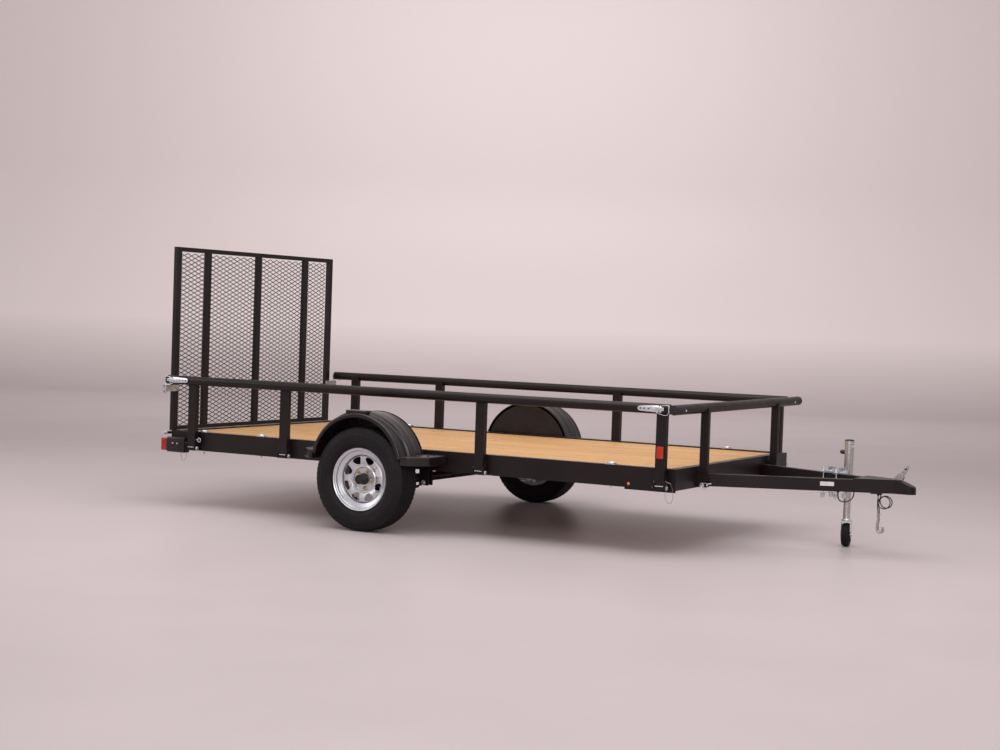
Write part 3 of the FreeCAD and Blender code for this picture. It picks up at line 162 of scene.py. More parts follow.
def angles_round(count):
    """Angles at equal steps through a full turn, from zero, with the end left out."""
    return np.linspace(0, FULL_TURN, count, endpoint=False)


def about_y(r, out, angle):
    """Points about the Y axis: x = r sin a, y = out, z = r cos a."""
    return np.stack(np.broadcast_arrays(r * np.sin(angle), out, r * np.cos(angle)), -1)


def turned(profile, base, axis, count=48):
    """Radius and height along an axis carried round it: point = base + r cos(a) u + r sin(a) v + h w.

    The profile runs from the low end to the high end on the outside; ends on the axis close themselves.
    """
    u, v, w = frame_on(axis)
    profile = np.asarray(profile, float)
    angle = angles_round(count)
    ring = np.cos(angle)[:, None] * u + np.sin(angle)[:, None] * v
    points = profile[None, :, 0, None] * ring[:, None, :] + profile[None, :, 1, None] * w + np.asarray(base, float)
    return grid(points, wrap_rows=True)


def rounded(corners, radius, steps=4):
    """A closed outline whose corners are replaced by arcs: each leaves its corner at the same distance."""
    corners = np.asarray(corners, float)
    before, after = np.roll(corners, 1, 0) - corners, np.roll(corners, -1, 0) - corners
    room = np.minimum(np.linalg.norm(before, axis=1), np.linalg.norm(after, axis=1)) * 0.45
    reach = np.minimum(room, radius)[:, None]
    start = corners + before / np.linalg.norm(before, axis=1)[:, None] * reach
    end = corners + after / np.linalg.norm(after, axis=1)[:, None] * reach
    s = np.linspace(0, 1, steps + 1)[None, :, None]
    arc = (1 - s) ** 2 * start[:, None] + 2 * s * (1 - s) * corners[:, None] + s ** 2 * end[:, None]
    return arc.reshape(-1, 2)


def inset(outline, distance):
    """The outline moved inwards by a distance, each point along the mean of its two sides' normals."""
    side = np.roll(outline, -1, 0) - outline
    normal = np.stack([-side[:, 1], side[:, 0]], -1)
    normal /= np.maximum(np.linalg.norm(normal, axis=1), 1e-9)[:, None]
    mean = normal + np.roll(normal, 1, 0)
    mean /= np.maximum((mean * mean).sum(1), 1e-6)[:, None] / 2
    return outline + mean * distance


def plate(outline, base, axis, height, edge=0.001, u=None, steps=2):
    """A flat outline carried along an axis, with both rims rounded by quarter circles and both ends closed.

    The outline runs anticlockwise seen against the axis; u is the direction of its first coordinate.
    """
    u0, v0, w = frame_on(axis)
    if u is not None:
        u0 = np.asarray(u, float) / np.linalg.norm(u)
        v0 = np.cross(w, u0)
    angle = np.linspace(0, math.pi / 2, steps + 1)
    depths = np.concatenate([edge * (1 - np.cos(angle)), height - edge * (1 - np.cos(angle[::-1]))])
    insets = np.concatenate([edge * (1 - np.sin(angle)), edge * (1 - np.sin(angle[::-1]))])
    rings = np.stack([inset(outline, d) for d in insets])
    base = np.asarray(base, float)
    points = rings[..., 0, None] * u0 + rings[..., 1, None] * v0 + depths[:, None, None] * w + base
    return together(flipped(grid(points, wrap_columns=True)), fan(points[0], True), fan(points[-1], False))


def slab(corner, opposite, k, radius, edge=0.001, steps=3):
    """A block between two opposite corners: an outline with rounded corners carried along axis number k."""
    corner, opposite = np.minimum(corner, opposite), np.maximum(corner, opposite)
    span = opposite - corner
    i, j = (k + 1) % 3, (k + 2) % 3
    outline = rounded([(0, 0), (span[i], 0), (span[i], span[j]), (0, span[j])], radius, steps)
    return plate(outline, corner, np.eye(3)[k], span[k], edge, np.eye(3)[i], steps)


def bar(corner, opposite, edge=0.002):
    """A straight bar between two opposite corners, with rounded edges all round."""
    span = np.abs(np.subtract(opposite, corner))
    k = int(np.argmax(span))
    edge = min(edge, span[(k + 1) % 3] * 0.45, span[(k + 2) % 3] * 0.45)
    return slab(corner, opposite, k, edge, edge, 2)


def along(path, closed=False):
    """Frames carried along a path with the least turning: tangents, first and second side directions."""
    path = np.asarray(path, float)
    if closed:
        tangent = np.roll(path, -1, 0) - np.roll(path, 1, 0)
    else:
        tangent = np.gradient(path, axis=0)
    tangent /= np.linalg.norm(tangent, axis=1)[:, None]
    first = np.zeros_like(path)
    first[0] = frame_on(tangent[0])[0]
    for i in range(1, len(path)):
        side = first[i - 1] - tangent[i] * (first[i - 1] @ tangent[i])
        first[i] = side / np.linalg.norm(side)
    return tangent, first, np.cross(tangent, first)


def tube(path, radius, count=12, closed=False):
    """A round tube: each point of the path carries a circle square to it, and open ends are closed."""
    path = np.asarray(path, float)
    _, first, second = along(path, closed)
    angle = angles_round(count)
    radius = np.broadcast_to(radius, len(path))[:, None, None]
    ring = np.cos(angle)[None, :, None] * first[:, None] + np.sin(angle)[None, :, None] * second[:, None]
    points = path[:, None] + radius * ring
    wall = flipped(grid(points, wrap_rows=closed, wrap_columns=True))
    if closed:
        return wall
    return together(wall, fan(points[0], True), fan(points[-1], False))


def smooth_path(points, steps=8, closed=False):
    """A curve through the given points: on each stretch the cubic whose slopes are half the neighbours' gap."""
    points = np.asarray(points, float)
    if closed:
        padded = np.vstack([points[-1:], points, points[:2]])
    else:
        padded = np.vstack([2 * points[0] - points[1], points, 2 * points[-1] - points[-2]])
    p0, p1, p2, p3 = padded[:-3], padded[1:-2], padded[2:-1], padded[3:]
    s = np.linspace(0, 1, steps, endpoint=False)[:, None]
    curve = 0.5 * (2 * p1[:, None] + (p2 - p0)[:, None] * s
                   + (2 * p0 - 5 * p1 + 4 * p2 - p3)[:, None] * s ** 2
                   + (3 * p1 - p0 - 3 * p2 + p3)[:, None] * s ** 3)
    curve = curve.reshape(-1, points.shape[1])
    return curve if closed else np.vstack([curve, points[-1:]])


def hexagon(radius):
    """Six corners at 30, 90, 150 degrees and so on, at the radius."""
    angle = np.radians(np.arange(6) * 60 + 30)
    return np.stack([np.cos(angle), np.sin(angle)], -1) * radius


def bolt(base, axis, radius, height):
    """A six-sided bolt head or nut on a round washer, standing on a point and pointing along an axis."""
    _, _, w = frame_on(axis)
    washer = turned([(0, 0), (radius * 1.35, 0), (radius * 1.4, height * 0.08), (radius * 1.35, height * 0.16),
                     (0, height * 0.16)], base, axis, 20)
    head = plate(rounded(hexagon(radius), radius * 0.12, 2), np.asarray(base) + w * height * 0.16, axis,
                 height * 0.84, height * 0.15)
    return together(washer, head)


def add(name, piece, finish, body, replaces=(), flat=False, values=None):
    """The piece as an object of the scene, riding on a body, smooth but for edges sharper than SHARP_EDGE."""
    points, sets = piece
    mesh = bpy.data.meshes.new(name)
    mesh.vertices.add(len(points))
    mesh.vertices.foreach_set("co", np.asarray(points, np.float32).ravel())
    corners = np.concatenate([faces.ravel() for faces in sets])
    totals = np.concatenate([np.full(len(faces), faces.shape[1]) for faces in sets])
    starts = np.concatenate([[0], np.cumsum(totals)[:-1]])
    mesh.loops.add(len(corners))
    mesh.loops.foreach_set("vertex_index", corners.astype(np.int32))
    mesh.polygons.add(len(totals))
    mesh.polygons.foreach_set("loop_start", starts.astype(np.int32))
    mesh.polygons.foreach_set("loop_total", totals.astype(np.int32))
    mesh.update(calc_edges=True)
    mesh.validate()
    for label, numbers in (values or {}).items():
        mesh.attributes.new(label, "FLOAT", "POINT").data.foreach_set("value", np.asarray(numbers, np.float32))
    thing = bpy.data.objects.new(name, mesh)
    bpy.context.scene.collection.objects.link(thing)
    if not flat:
        mesh.shade_smooth()
        mesh.set_sharp_from_angle(angle=SHARP_EDGE)
    mesh.materials.append(FINISHES[finish])
    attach(thing, body)
    if replaces:
        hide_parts(*replaces)
    return thing


def shell(outer, inner):
    """A closed sheet between two grids of the same size: outer faces, inner faces and a strip round the edge."""
    rows, columns = outer.shape[:2]
    count = rows * columns
    top = faces_of_grid(rows, columns)
    number = np.arange(count).reshape(rows, columns)
    edge = np.concatenate([number[0], number[1:, -1], number[-1, -2::-1], number[-2:0:-1, 0]])
    after = np.roll(edge, -1)
    strip = np.stack([edge, after, after + count, edge + count], -1)
    points = np.vstack([outer.reshape(-1, 3), inner.reshape(-1, 3)])
    return points, [np.vstack([top, top[:, ::-1] + count, strip])]


def step(value, start, end):
    """0 below start, 1 above end and a smooth s-shaped rise between them."""
    t = np.clip((value - start) / (end - start), 0, 1)
    return t * t * (3 - 2 * t)


# Finishes
def shade(value):
    """A colour written as it looks, 0 to 255, as the linear colour of a socket."""
    c = np.asarray(value, float) / 255
    linear = np.where(c <= 0.04045, c / 12.92, ((c + 0.055) / 1.055) ** 2.4)
    return (*map(float, linear), 1.0)


def tone(value):
    """What a colour socket takes: another socket, a user's colour, one written from 0 to 255, or a grey level."""
    if isinstance(value, bpy.types.NodeSocket):
        return value
    if isinstance(value, Color):
        return (*value, 1.0)
    return shade(value) if hasattr(value, "__len__") else (value, value, value, 1.0)


class Finish:
    """A node material in the making: its surface shader, object coordinates and short calls for its nodes."""

    def __init__(self, name):
        self.material = bpy.data.materials.new(name)
        self.material.use_nodes = True
        self.nodes, self.links = self.material.node_tree.nodes, self.material.node_tree.links
        self.where = self.nodes.new("ShaderNodeTexCoord").outputs["Object"]

    def fill(self, socket, value):
        """Joins a socket to another one, or sets its value."""
        if isinstance(value, bpy.types.NodeSocket):
            self.links.new(value, socket)
        else:
            socket.default_value = value

    def node(self, kind, settings=(), **inputs):
        """A new node with its settings; an input is named with _ for a space, or by its number as _0, _1."""
        made = self.nodes.new("ShaderNode" + kind)
        for label, value in dict(settings).items():
            setattr(made, label, value)
        for label, value in inputs.items():
            self.fill(made.inputs[int(label[1:]) if label[0] == "_" else label.replace("_", " ")], value)
        return made

    def math(self, operation, one, other=0.5):
        """The result of a sum, product or other operation on two values."""
        return self.node("Math", {"operation": operation}, _0=one, _1=other).outputs[0]

    def stretched(self, where, scale):
        """Coordinates times a scale along each axis."""
        return self.node("Mapping", Vector=where, Scale=scale).outputs[0]

    def noise(self, scale, detail=4.0, rough=0.55, stretch=None, where=None):
        """Cloudy noise of a scale, in object coordinates or others, stretched along each axis if asked."""
        where = self.where if where is None else where
        if stretch is not None:
            where = self.stretched(where, stretch)
        return self.node("TexNoise", Vector=where, Scale=scale, Detail=detail, Roughness=rough).outputs["Fac"]

    def ramp(self, value, *stops):
        """A ramp from a value through stops of place and colour or grey."""
        made = self.node("ValToRGB", Fac=value)
        elements = made.color_ramp.elements
        for i, (at, colour) in enumerate(stops):
            element = elements[i] if i < 2 else elements.new(at)
            element.position, element.color = at, tone(colour)
        return made.outputs["Color"]

    def rise(self, value, start, end):
        """0 at the start, 1 at the end and straight between them."""
        return self.node("MapRange", {"clamp": True}, Value=value, From_Min=start, From_Max=end).outputs[0]

    def mix(self, factor, one, other):
        """One colour at 0, the other at 1 and a straight blend between them."""
        return self.node("MixRGB", Fac=factor, Color1=tone(one), Color2=tone(other)).outputs[0]

    def bump(self, height, strength, distance, under=None):
        """A normal tilted by a height, over the normal of another bump if there is one."""
        made = self.node("Bump", Height=height, Strength=strength, Distance=distance)
        if under is not None:
            self.links.new(under, made.inputs["Normal"])
        return made.outputs["Normal"]

    def dust_and_painted_top_light(self, amount):
        """A share of dust and painted top light: it grows where a face looks up, broken up by the given grey value."""
        up = self.node("SeparateXYZ", Vector=self.node("NewGeometry").outputs["Normal"]).outputs["Z"]
        return self.math("MULTIPLY", self.rise(up, 0.55, 1.0), amount)

    def finished(self, colour, gloss, normal=None, **levels):
        """The material with its colour, roughness and normal joined up, and the shader's constant levels."""
        surface = self.nodes["Principled BSDF"].inputs
        self.fill(surface["Base Color"], colour)
        self.fill(surface["Roughness"], gloss)
        if normal is not None:
            self.fill(surface["Normal"], normal)
        for label, value in levels.items():
            surface[label.replace("_", " ")].default_value = value
        return self.material


def black_coat(settings):
    """Black powder coat on steel: fine orange peel, faint cloudiness and a little dust with painted top light."""
    f = Finish("black_powder_coat")
    base = f.ramp(f.noise(3.0, 5.0), (0.3, settings.coat_dark), (0.72, settings.coat_light))
    scuff = f.ramp(f.noise(38.0, 6.0, 0.7), (0.70, 0.0), (0.78, 0.35))
    # Painted light: faces that look up are mixed towards pale grey, partly dust and partly painted top light
    dust_and_painted_top_light = f.dust_and_painted_top_light(f.ramp(f.noise(9.0, 6.0, 0.65), (0.35, 0.01), (0.75, 0.09)))
    return f.finished(f.mix(dust_and_painted_top_light, f.mix(scuff, base, (56, 51, 52)), (140, 130, 128)),
                      f.ramp(f.noise(11.0, 5.0), (0.3, 0.34), (0.75, 0.50)),
                      f.bump(f.noise(420.0, 2.0), 0.12, 0.0004), Specular_IOR_Level=0.26)


def fender_plastic(settings):
    """Moulded black plastic: an even sheen with a fine grain, and a little dust with painted top light."""
    f = Finish("moulded_plastic")
    base = f.ramp(f.noise(5.0, 5.0), (0.3, settings.plastic_dark), (0.7, settings.plastic_light))
    # Painted light: faces that look up are mixed towards pale grey, partly dust and partly painted top light
    dust_and_painted_top_light = f.dust_and_painted_top_light(f.ramp(f.noise(14.0, 6.0, 0.7), (0.35, 0.01), (0.8, 0.12)))
    return f.finished(f.mix(dust_and_painted_top_light, base, (140, 126, 128)), f.ramp(f.noise(20.0, 4.0), (0.3, 0.24), (0.75, 0.36)),
                      f.bump(f.noise(900.0, 2.0), 0.15, 0.0003), Specular_IOR_Level=0.38)


def rubber(settings):
    """Tyre rubber: dark grey, matt, with dusty patches and fine moulding marks."""
    f = Finish("tyre_rubber")
    base = f.ramp(f.noise(6.0, 6.0, 0.6), (0.3, settings.rubber_dark), (0.75, settings.rubber_light))
    dusty = f.ramp(f.noise(26.0, 7.0, 0.7), (0.55, 0.0), (0.82, 0.3))
    return f.finished(f.mix(dusty, base, (52, 45, 46)), f.ramp(f.noise(16.0, 4.0), (0.3, 0.58), (0.75, 0.78)),
                      f.bump(f.noise(300.0, 3.0), 0.2, 0.0006), Specular_IOR_Level=0.24)


def galvanised(name, light, dark, low_gloss, grain, gloss_spread=0.16, cloudy=0.55):
    """Zinc-coated steel: crystals of slightly different grey, streaks and soft scratches."""
    f = Finish(name)
    cell = f.node("TexVoronoi", Vector=f.where, Scale=grain)
    crystal = f.node("SeparateColor", Color=cell.outputs["Color"]).outputs[0]
    cloud = f.ramp(f.noise(12.0, 6.0, 0.65), (0.35, 0.0), (0.8, cloudy))
    scratch = f.noise(240.0, 3.0, 0.6, (1.0, 1.0, 0.08))
    return f.finished(f.mix(cloud, f.ramp(crystal, (0.0, dark), (1.0, light)), dark),
                      f.ramp(crystal, (0.0, low_gloss), (1.0, low_gloss + gloss_spread)),
                      f.bump(scratch, 0.10, 0.0003), Metallic=0.88)


def pine(settings):
    """Pine planks: long grain along X shifted from plank to plank, late-wood lines, knots and dark streaks."""
    f = Finish("pine_planks")
    number = f.node("Attribute", {"attribute_name": "plank"}).outputs["Fac"]
    shift = f.node("CombineXYZ", X=f.math("MULTIPLY", number, 7.3), Y=f.math("MULTIPLY", number, 3.1), Z=number)
    spot = f.node("VectorMath", {"operation": "ADD"}, _0=f.where, _1=shift.outputs[0]).outputs[0]
    sway = f.noise(1.0, 3.0, 0.5, (0.9, 6.0, 3.0), spot)
    rings = f.node("TexWave", {"bands_direction": "Y", "wave_profile": "SAW"},
                   Vector=f.stretched(spot, (0.35, 9.0, 3.0)), Scale=1.6, Distortion=5.5, Detail=3.0,
                   Detail_Scale=1.2, Detail_Roughness=0.6).outputs["Fac"]
    fibre = f.noise(60.0, 4.0, 0.7, (0.05, 3.0, 1.5), spot)
    board = f.math("FRACT", f.math("MULTIPLY", number, 0.37))
    cell = f.node("TexVoronoi", Vector=f.stretched(spot, (1.1, 4.2, 1.0)), Scale=1.7).outputs["Distance"]
    knot = f.ramp(cell, (0.0, 1.0), (0.035, 0.85), (0.075, 0.0))
    streak = f.ramp(f.noise(5.0, 6.0, 0.72, (0.10, 3.2, 1.0), spot), (0.52, 0.0), (0.74, 0.62))
    wood = f.ramp(rings, (0.0, settings.wood_light), (0.70, settings.wood_middle), (1.0, settings.wood_dark))
    for share, colour in ((f.ramp(fibre, (0.35, 0.0), (0.75, 0.45)), (164, 116, 70)),
                          (f.ramp(sway, (0.35, 0.0), (0.7, 0.4)), (222, 184, 136)),
                          (f.ramp(board, (0.0, 0.0), (1.0, 0.36)), (178, 128, 80)),
                          (streak, (150, 102, 56)), (knot, (108, 66, 38))):
        wood = f.mix(share, wood, colour)
    return f.finished(wood, f.ramp(fibre, (0.3, 0.50), (0.8, 0.68)),
                      f.bump(fibre, 0.25, 0.0008, f.bump(rings, 0.12, 0.0006)))


def lens(name, deep, bright):
    """Tinted lens plastic with a pattern of small prisms."""
    f = Finish(name)
    prisms = f.node("TexVoronoi", {"feature": "DISTANCE_TO_EDGE"}, Vector=f.where, Scale=190.0).outputs["Distance"]
    cloud = f.noise(30.0, 3.0)
    return f.finished(f.mix(f.ramp(cloud, (0.3, 0.0), (0.8, 0.5)), deep, bright),
                      f.ramp(cloud, (0.2, 0.10), (0.9, 0.22)), f.bump(prisms, 0.5, 0.0008), Coat_Weight=0.6)


def plain(name, dark, light, gloss, metal=0.0, scale=40.0):
    """A paint, plating or plastic with cloudy colour, uneven gloss and a fine bump."""
    f = Finish(name)
    cloud = f.noise(scale, 5.0, 0.6)
    return f.finished(f.ramp(cloud, (0.3, dark), (0.75, light)),
                      f.ramp(cloud, (0.25, gloss), (0.8, min(1.0, gloss + 0.15))),
                      f.bump(f.noise(scale * 14, 3.0), 0.12, 0.0003), Metallic=metal)


FINISHES = {}


def make_finishes(settings):
    """Every finish under the short name by which the pieces ask for it."""
    FINISHES.update(
        black=black_coat(settings), plastic=fender_plastic(settings), rubber=rubber(settings), pine=pine(settings),
        galvanised=galvanised("galvanised_steel", settings.zinc_light, settings.zinc_dark, 0.28, 55.0),
        bright=galvanised("bright_zinc", (228, 230, 234), (204, 207, 213), 0.22, 240.0),
        rim=galvanised("wheel_zinc", settings.wheel_light, settings.wheel_dark, 0.26, 320.0),
        tube=galvanised("jack_tube_steel", (204, 200, 197), (190, 186, 182), 0.26, 240.0, 0.04, 0.3),
        fitting=galvanised("fitting_steel", (190, 186, 184), (160, 155, 154), 0.24, 160.0, 0.08, 0.35),
        wire=plain("wire_steel", (92, 86, 86), (132, 126, 126), 0.34, 0.5, 60.0),
        brass=plain("yellow_zinc", (150, 140, 96), (205, 196, 150), 0.28, 0.9, 60.0),
        cap=plain("cap_plastic", (19, 14, 15), (34, 27, 28), 0.36),
        red=lens("red_lens", settings.lamp_deep, settings.lamp_bright),
        orange=lens("orange_reflector", (168, 30, 0), (204, 58, 6)),
        amber=lens("amber_lens", (206, 92, 18), (236, 136, 46)),
        label=plain("blank_label", (206, 200, 200), (232, 228, 228), 0.45),
        cord=plain("black_vinyl", (20, 18, 19), (38, 35, 36), 0.38, 0.0, 80.0),
    )


SLOT_FINISH = {"black_steel": "black", "galvanised": "galvanised", "zinc": "bright", "deck_wood": "pine",
               "tyre_rubber": "rubber", "fender_plastic": "plastic", "red_lens": "red", "amber_lens": "orange",
               "cord_black": "cord"}
NODE_FINISH = {"jack_tube": "tube", "jack_leg": "tube", "jack_mount": "bright", "caster_fork": "bright"}


def finish_nodes():
    """Gives every node of the frame its own detailed finish, or that of its material slot."""
    for item in frame["record"]["subparts"]:
        thing = frame["nodes"][item["node"]]
        finish = FINISHES[NODE_FINISH.get(item["node"], SLOT_FINISH[item["material_slot"]])]
        if not thing.material_slots:
            thing.data.materials.append(finish)
        for holder in thing.material_slots:
            holder.material = finish


# Properties
def metres(name, description, default, **more):
    """A length in metres."""
    return bpy.props.FloatProperty(name=name, description=description, default=default, unit="LENGTH", **more)


def angle_of(name, description, default):
    """An angle, in radians here and in degrees in the panel."""
    return bpy.props.FloatProperty(name=name, description=description, default=default, subtype="ANGLE")


def share_of(name, description, default):
    """A share from 0 to 1."""
    return bpy.props.FloatProperty(name=name, description=description, default=default, subtype="FACTOR",
                                   min=0.0, max=1.0)


def whole(name, description, default):
    """A whole number of like things."""
    return bpy.props.IntProperty(name=name, description=description, default=default)


def paint(name, description, value):
    """A colour, written as it looks from 0 to 255."""
    return bpy.props.FloatVectorProperty(name=name, description=description, default=shade(value)[:3],
                                         subtype="COLOR", min=0.0, max=1.0)


class TrailerFinishes(bpy.types.PropertyGroup):
    """Colours of the main finishes"""
    coat_dark: paint("Dark coat", "Darker tone of the powder coat", (18, 11, 13))
    coat_light: paint("Light coat", "Lighter tone of the powder coat", (30, 21, 24))
    plastic_dark: paint("Dark plastic", "Darker tone of the fenders", (22, 15, 18))
    plastic_light: paint("Light plastic", "Lighter tone of the fenders", (34, 26, 29))
    rubber_dark: paint("Dark rubber", "Darker tone of the tyres", (12, 10, 12))
    rubber_light: paint("Light rubber", "Lighter tone of the tyres", (25, 21, 24))
    wood_light: paint("Light wood", "Early wood of the planks", (216, 176, 118))
    wood_middle: paint("Middle wood", "Wood of the planks between the lines", (190, 142, 82))
    wood_dark: paint("Dark wood", "Late-wood lines of the planks", (152, 100, 56))
    zinc_light: paint("Light zinc", "Lighter crystals of the galvanised steel", (206, 206, 208))
    zinc_dark: paint("Dark zinc", "Darker crystals of the galvanised steel", (150, 150, 154))
    wheel_light: paint("Light wheel", "Lighter crystals of the wheels' zinc", (216, 218, 222))
    wheel_dark: paint("Dark wheel", "Darker crystals of the wheels' zinc", (194, 196, 202))
    lamp_deep: paint("Deep lamp", "Deeper tone of the tail lamps", (136, 8, 8))
    lamp_bright: paint("Bright lamp", "Brighter tone of the tail lamps", (186, 22, 20))


class TRAILER_OT_finishes(bpy.types.Operator):
    """Makes the finishes and puts them on the frame's nodes"""
    bl_idname = "trailer.finishes"
    bl_label = "Finishes"

    def execute(self, context):
        make_finishes(context.scene.trailer_finishes)
        finish_nodes()
        return {"FINISHED"}


# Wheels
# Steps round the tyre for each cut in a shoulder, points on a side of a disc's sector, and the superellipse's power
STEPS_PER_CUT = 5
SIDE_POINTS = 9
WINDOW_POWER = 3.2


def tyre_piece(settings):
    """A tyre about the Y axis at the origin.

    The section runs round once: side wall with moulded rings, shoulder, tread, and back along the liner.
    Each of its points is carried round the axis; on the tread the radius drops by the depth of four grooves
    that weave as a triangle wave and of short cuts across both shoulders.
    """
    radius, half, bead = TYRE_RADIUS, TYRE_HALF, RIM_RADIUS - settings.flange_height
    wall = smooth_path([(bead, half * 0.62), (bead + 0.009, half * 0.645), (RIM_RADIUS - 0.003, half * 0.66),
                        (RIM_RADIUS + 0.003, half * 0.74), (RIM_RADIUS + 0.015, half * 0.89),
                        (RIM_RADIUS + 0.034, half * 0.975), ((bead + radius) / 2 + 0.018, half),
                        (radius - 0.042, half * 0.965), (radius - 0.022, half * 0.90),
                        (radius - 0.009, half * 0.815)], 7)
    across = np.linspace(half * 0.80, -half * 0.80, 61)
    tread = np.stack([radius - 0.0045 * (across / (half * 0.8)) ** 4, across], -1)
    other = wall[::-1] * (1, -1)
    liner = smooth_path([(bead, -half * 0.66), (bead + 0.03, -half * 0.80), (radius - 0.035, -half * 0.78),
                         (radius - 0.016, 0), (radius - 0.035, half * 0.78), (bead + 0.03, half * 0.80),
                         (bead, half * 0.66)], 4)
    section = np.concatenate([wall, tread, other, liner])
    angle = angles_round(settings.tread_cuts * STEPS_PER_CUT)[:, None]
    r, y = section.T[:, None]
    on_tread = np.zeros(len(section), bool)
    on_tread[len(wall):len(wall) + len(tread)] = True
    weave = np.abs((angle * settings.tread_cuts / FULL_TURN) % 1 - 0.5) * 4 - 1
    depth = 0
    for centre, width in ((-0.52, 0.034), (-0.175, 0.040), (0.175, 0.040), (0.52, 0.034)):
        away = np.abs(y / half - centre - 0.022 * weave)
        depth = np.maximum(depth, settings.groove_depth * (1 - step(away, width * 0.6, width * 1.3)))
    cut = step(np.cos(angle * settings.tread_cuts), 0.55, 0.8) * step(np.abs(y) / half, 0.60, 0.64)
    depth = np.maximum(depth, 0.6 * settings.groove_depth * cut)
    r = r - np.where(on_tread[None, :], depth, 0)
    ring = np.zeros(len(section))
    for at, tall in ((0.18, 0.0016), (0.30, 0.0010), (0.78, 0.0014)):
        at = bead + (radius - bead) * at
        ring += tall * (1 - step(np.abs(section[:, 0] - at), 0.0012, 0.0030)) * (~on_tread)
    ring[len(wall) + len(tread) + len(other):] = 0
    y = y - np.sign(y) * 0.0022 + np.sign(y) * ring[None, :]
    return flipped(grid(about_y(r, y, angle), wrap_rows=True, wrap_columns=True))


def round_axis(section, count=72, closed=True):
    """A section of radius and outward offset carried round the Y axis."""
    points = about_y(*np.asarray(section, float).T[:, None], angles_round(count)[:, None])
    return flipped(grid(points, wrap_rows=True, wrap_columns=closed))


def thick(path, wall):
    """A closed outline on both sides of a path of points: the path, then back at a distance from it."""
    path = np.asarray(path, float)
    slope = np.gradient(path, axis=0)
    normal = np.stack([-slope[:, 1], slope[:, 0]], -1)
    normal /= np.linalg.norm(normal, axis=1)[:, None]
    return np.concatenate([path, (path + normal * wall)[::-1]])


def disc_edge(settings):
    """The disc's radius, up to the inside of the well: the rim's less its flange, its well and its wall."""
    return RIM_RADIUS - settings.flange_height - settings.well_depth - settings.rim_wall


def disc_height(r, settings):
    """Outward offset of the disc at a radius: flat pad, raised ring, valley, crown and the edge at the well."""
    pad, edge = settings.pad_radius, disc_edge(settings)
    return np.interp(r, [0, pad * 0.82, pad * 0.88, pad * 0.98, pad * 1.05, pad * 1.2, pad * 1.42,
                         edge - 0.013, edge - 0.004, edge],
                     [0, 0, 0.006, 0.0075, 0.003, 0.011, 0.0185, 0.0165, 0.008, 0.0])


def rim_piece(settings):
    """A pressed steel wheel about the Y axis, its face towards +Y.

    The rim is one section carried round the axis. The disc is a sector repeated round the axis: rings of
    points blend from the sector's square outline to the window's superellipse, at the height
    of the disc, and come back on the other face.
    """
    outer, half = RIM_RADIUS, RIM_HALF
    bead = outer - settings.flange_height
    well = bead - settings.well_depth
    path = smooth_path([(outer - 0.004, half - 0.001), (outer - 0.0005, half - 0.007), (outer - 0.006, half - 0.012),
                        (bead + 0.003, half - 0.014), (bead, half - 0.019), (bead - 0.001, half - 0.026),
                        (bead - 0.004, half - 0.030), (well + 0.004, half - 0.040), (well, half - 0.046),
                        (well, 0.0), (well, -half + 0.070), (well + 0.004, -half + 0.058),
                        (bead - 0.003, -half + 0.040), (bead, -half + 0.022), (bead + 0.003, -half + 0.015),
                        (outer - 0.006, -half + 0.012), (outer - 0.0005, -half + 0.007),
                        (outer - 0.004, -half + 0.001)], 4)
    section = thick(path, -settings.rim_wall)
    barrel = round_axis(section[::-1], 96)
    side = np.linspace(-1, 1, SIDE_POINTS, endpoint=False)
    one = np.ones(SIDE_POINTS)
    square = np.concatenate([np.stack([side, -one], -1), np.stack([one, side], -1),
                             np.stack([-side, one], -1), np.stack([-one, -side], -1)])
    window = square / ((np.abs(square) ** WINDOW_POWER).sum(1) ** (1 / WINDOW_POWER))[:, None]
    window[:, 0] *= settings.window_share * (1 + 0.30 * window[:, 1])
    window[:, 1] = 0.66 * window[:, 1] + 0.02
    inner_r, outer_r = settings.pad_radius * 0.98, disc_edge(settings) + 0.001
    blend = np.array([0, 0.25, 0.5, 0.75, 0.92, 1.0])
    drop = np.array([0, 0, 0, 0, 0.0006, 0.0028])
    rows = []
    for face, shares, falls in ((0.0, blend, drop), (-settings.disc_wall, blend[::-1], 0 * drop)):
        for share, fall in zip(shares, falls):
            uv = square * (1 - share) + window * share
            r = (inner_r + outer_r) / 2 + (outer_r - inner_r) / 2 * uv[:, 1]
            w = disc_height(r, settings) + settings.disc_offset + face - fall
            rows.append(np.stack([r, uv[:, 0] * math.pi / settings.window_count, w], -1))
    r, turn, w = np.moveaxis(np.stack(rows), -1, 0)
    pieces = [barrel]
    for k in range(settings.window_count):
        points = about_y(r, w, turn + FULL_TURN * (k + 0.5) / settings.window_count)
        pieces.append(grid(points, wrap_rows=True, wrap_columns=True))
    radii = np.concatenate([[0.036, 0.040, 0.050, 0.060, 0.068],
                            settings.pad_radius * np.array([0.82, 0.85, 0.88, 0.93, 0.98, 1.01])])
    pad = thick(np.stack([radii, disc_height(radii, settings) + settings.disc_offset], -1), -settings.disc_wall)
    pieces.append(round_axis(pad[::-1], 72))
    return together(*pieces)


def nuts_piece(settings):
    """Wheel nuts with a chamfered hexagon, a collar and a domed end, at equal angles on the nut circle."""
    pieces = []
    for k in range(settings.nut_count):
        spot = about_y(settings.nut_circle, 0, settings.nut_turn + FULL_TURN * k / settings.nut_count)
        outline = rounded(hexagon(settings.nut_radius), settings.nut_radius * 0.1, 2)
        pieces.append(plate(outline, spot + (0, 0.001, 0), LEFT, 0.013, 0.0018))
        pieces.append(turned([(0, 0.0), (0.0125, 0.0), (0.0125, 0.002), (0.0105, 0.003), (0.0, 0.003)],
                             spot + (0, 0.0002, 0), LEFT, 24))
        pieces.append(turned([(0, 0.010), (0.0068, 0.010), (0.0068, 0.0145), (0.0055, 0.0165), (0.003, 0.0172),
                              (0, 0.0172)], spot, LEFT, 20))
    return together(*pieces)


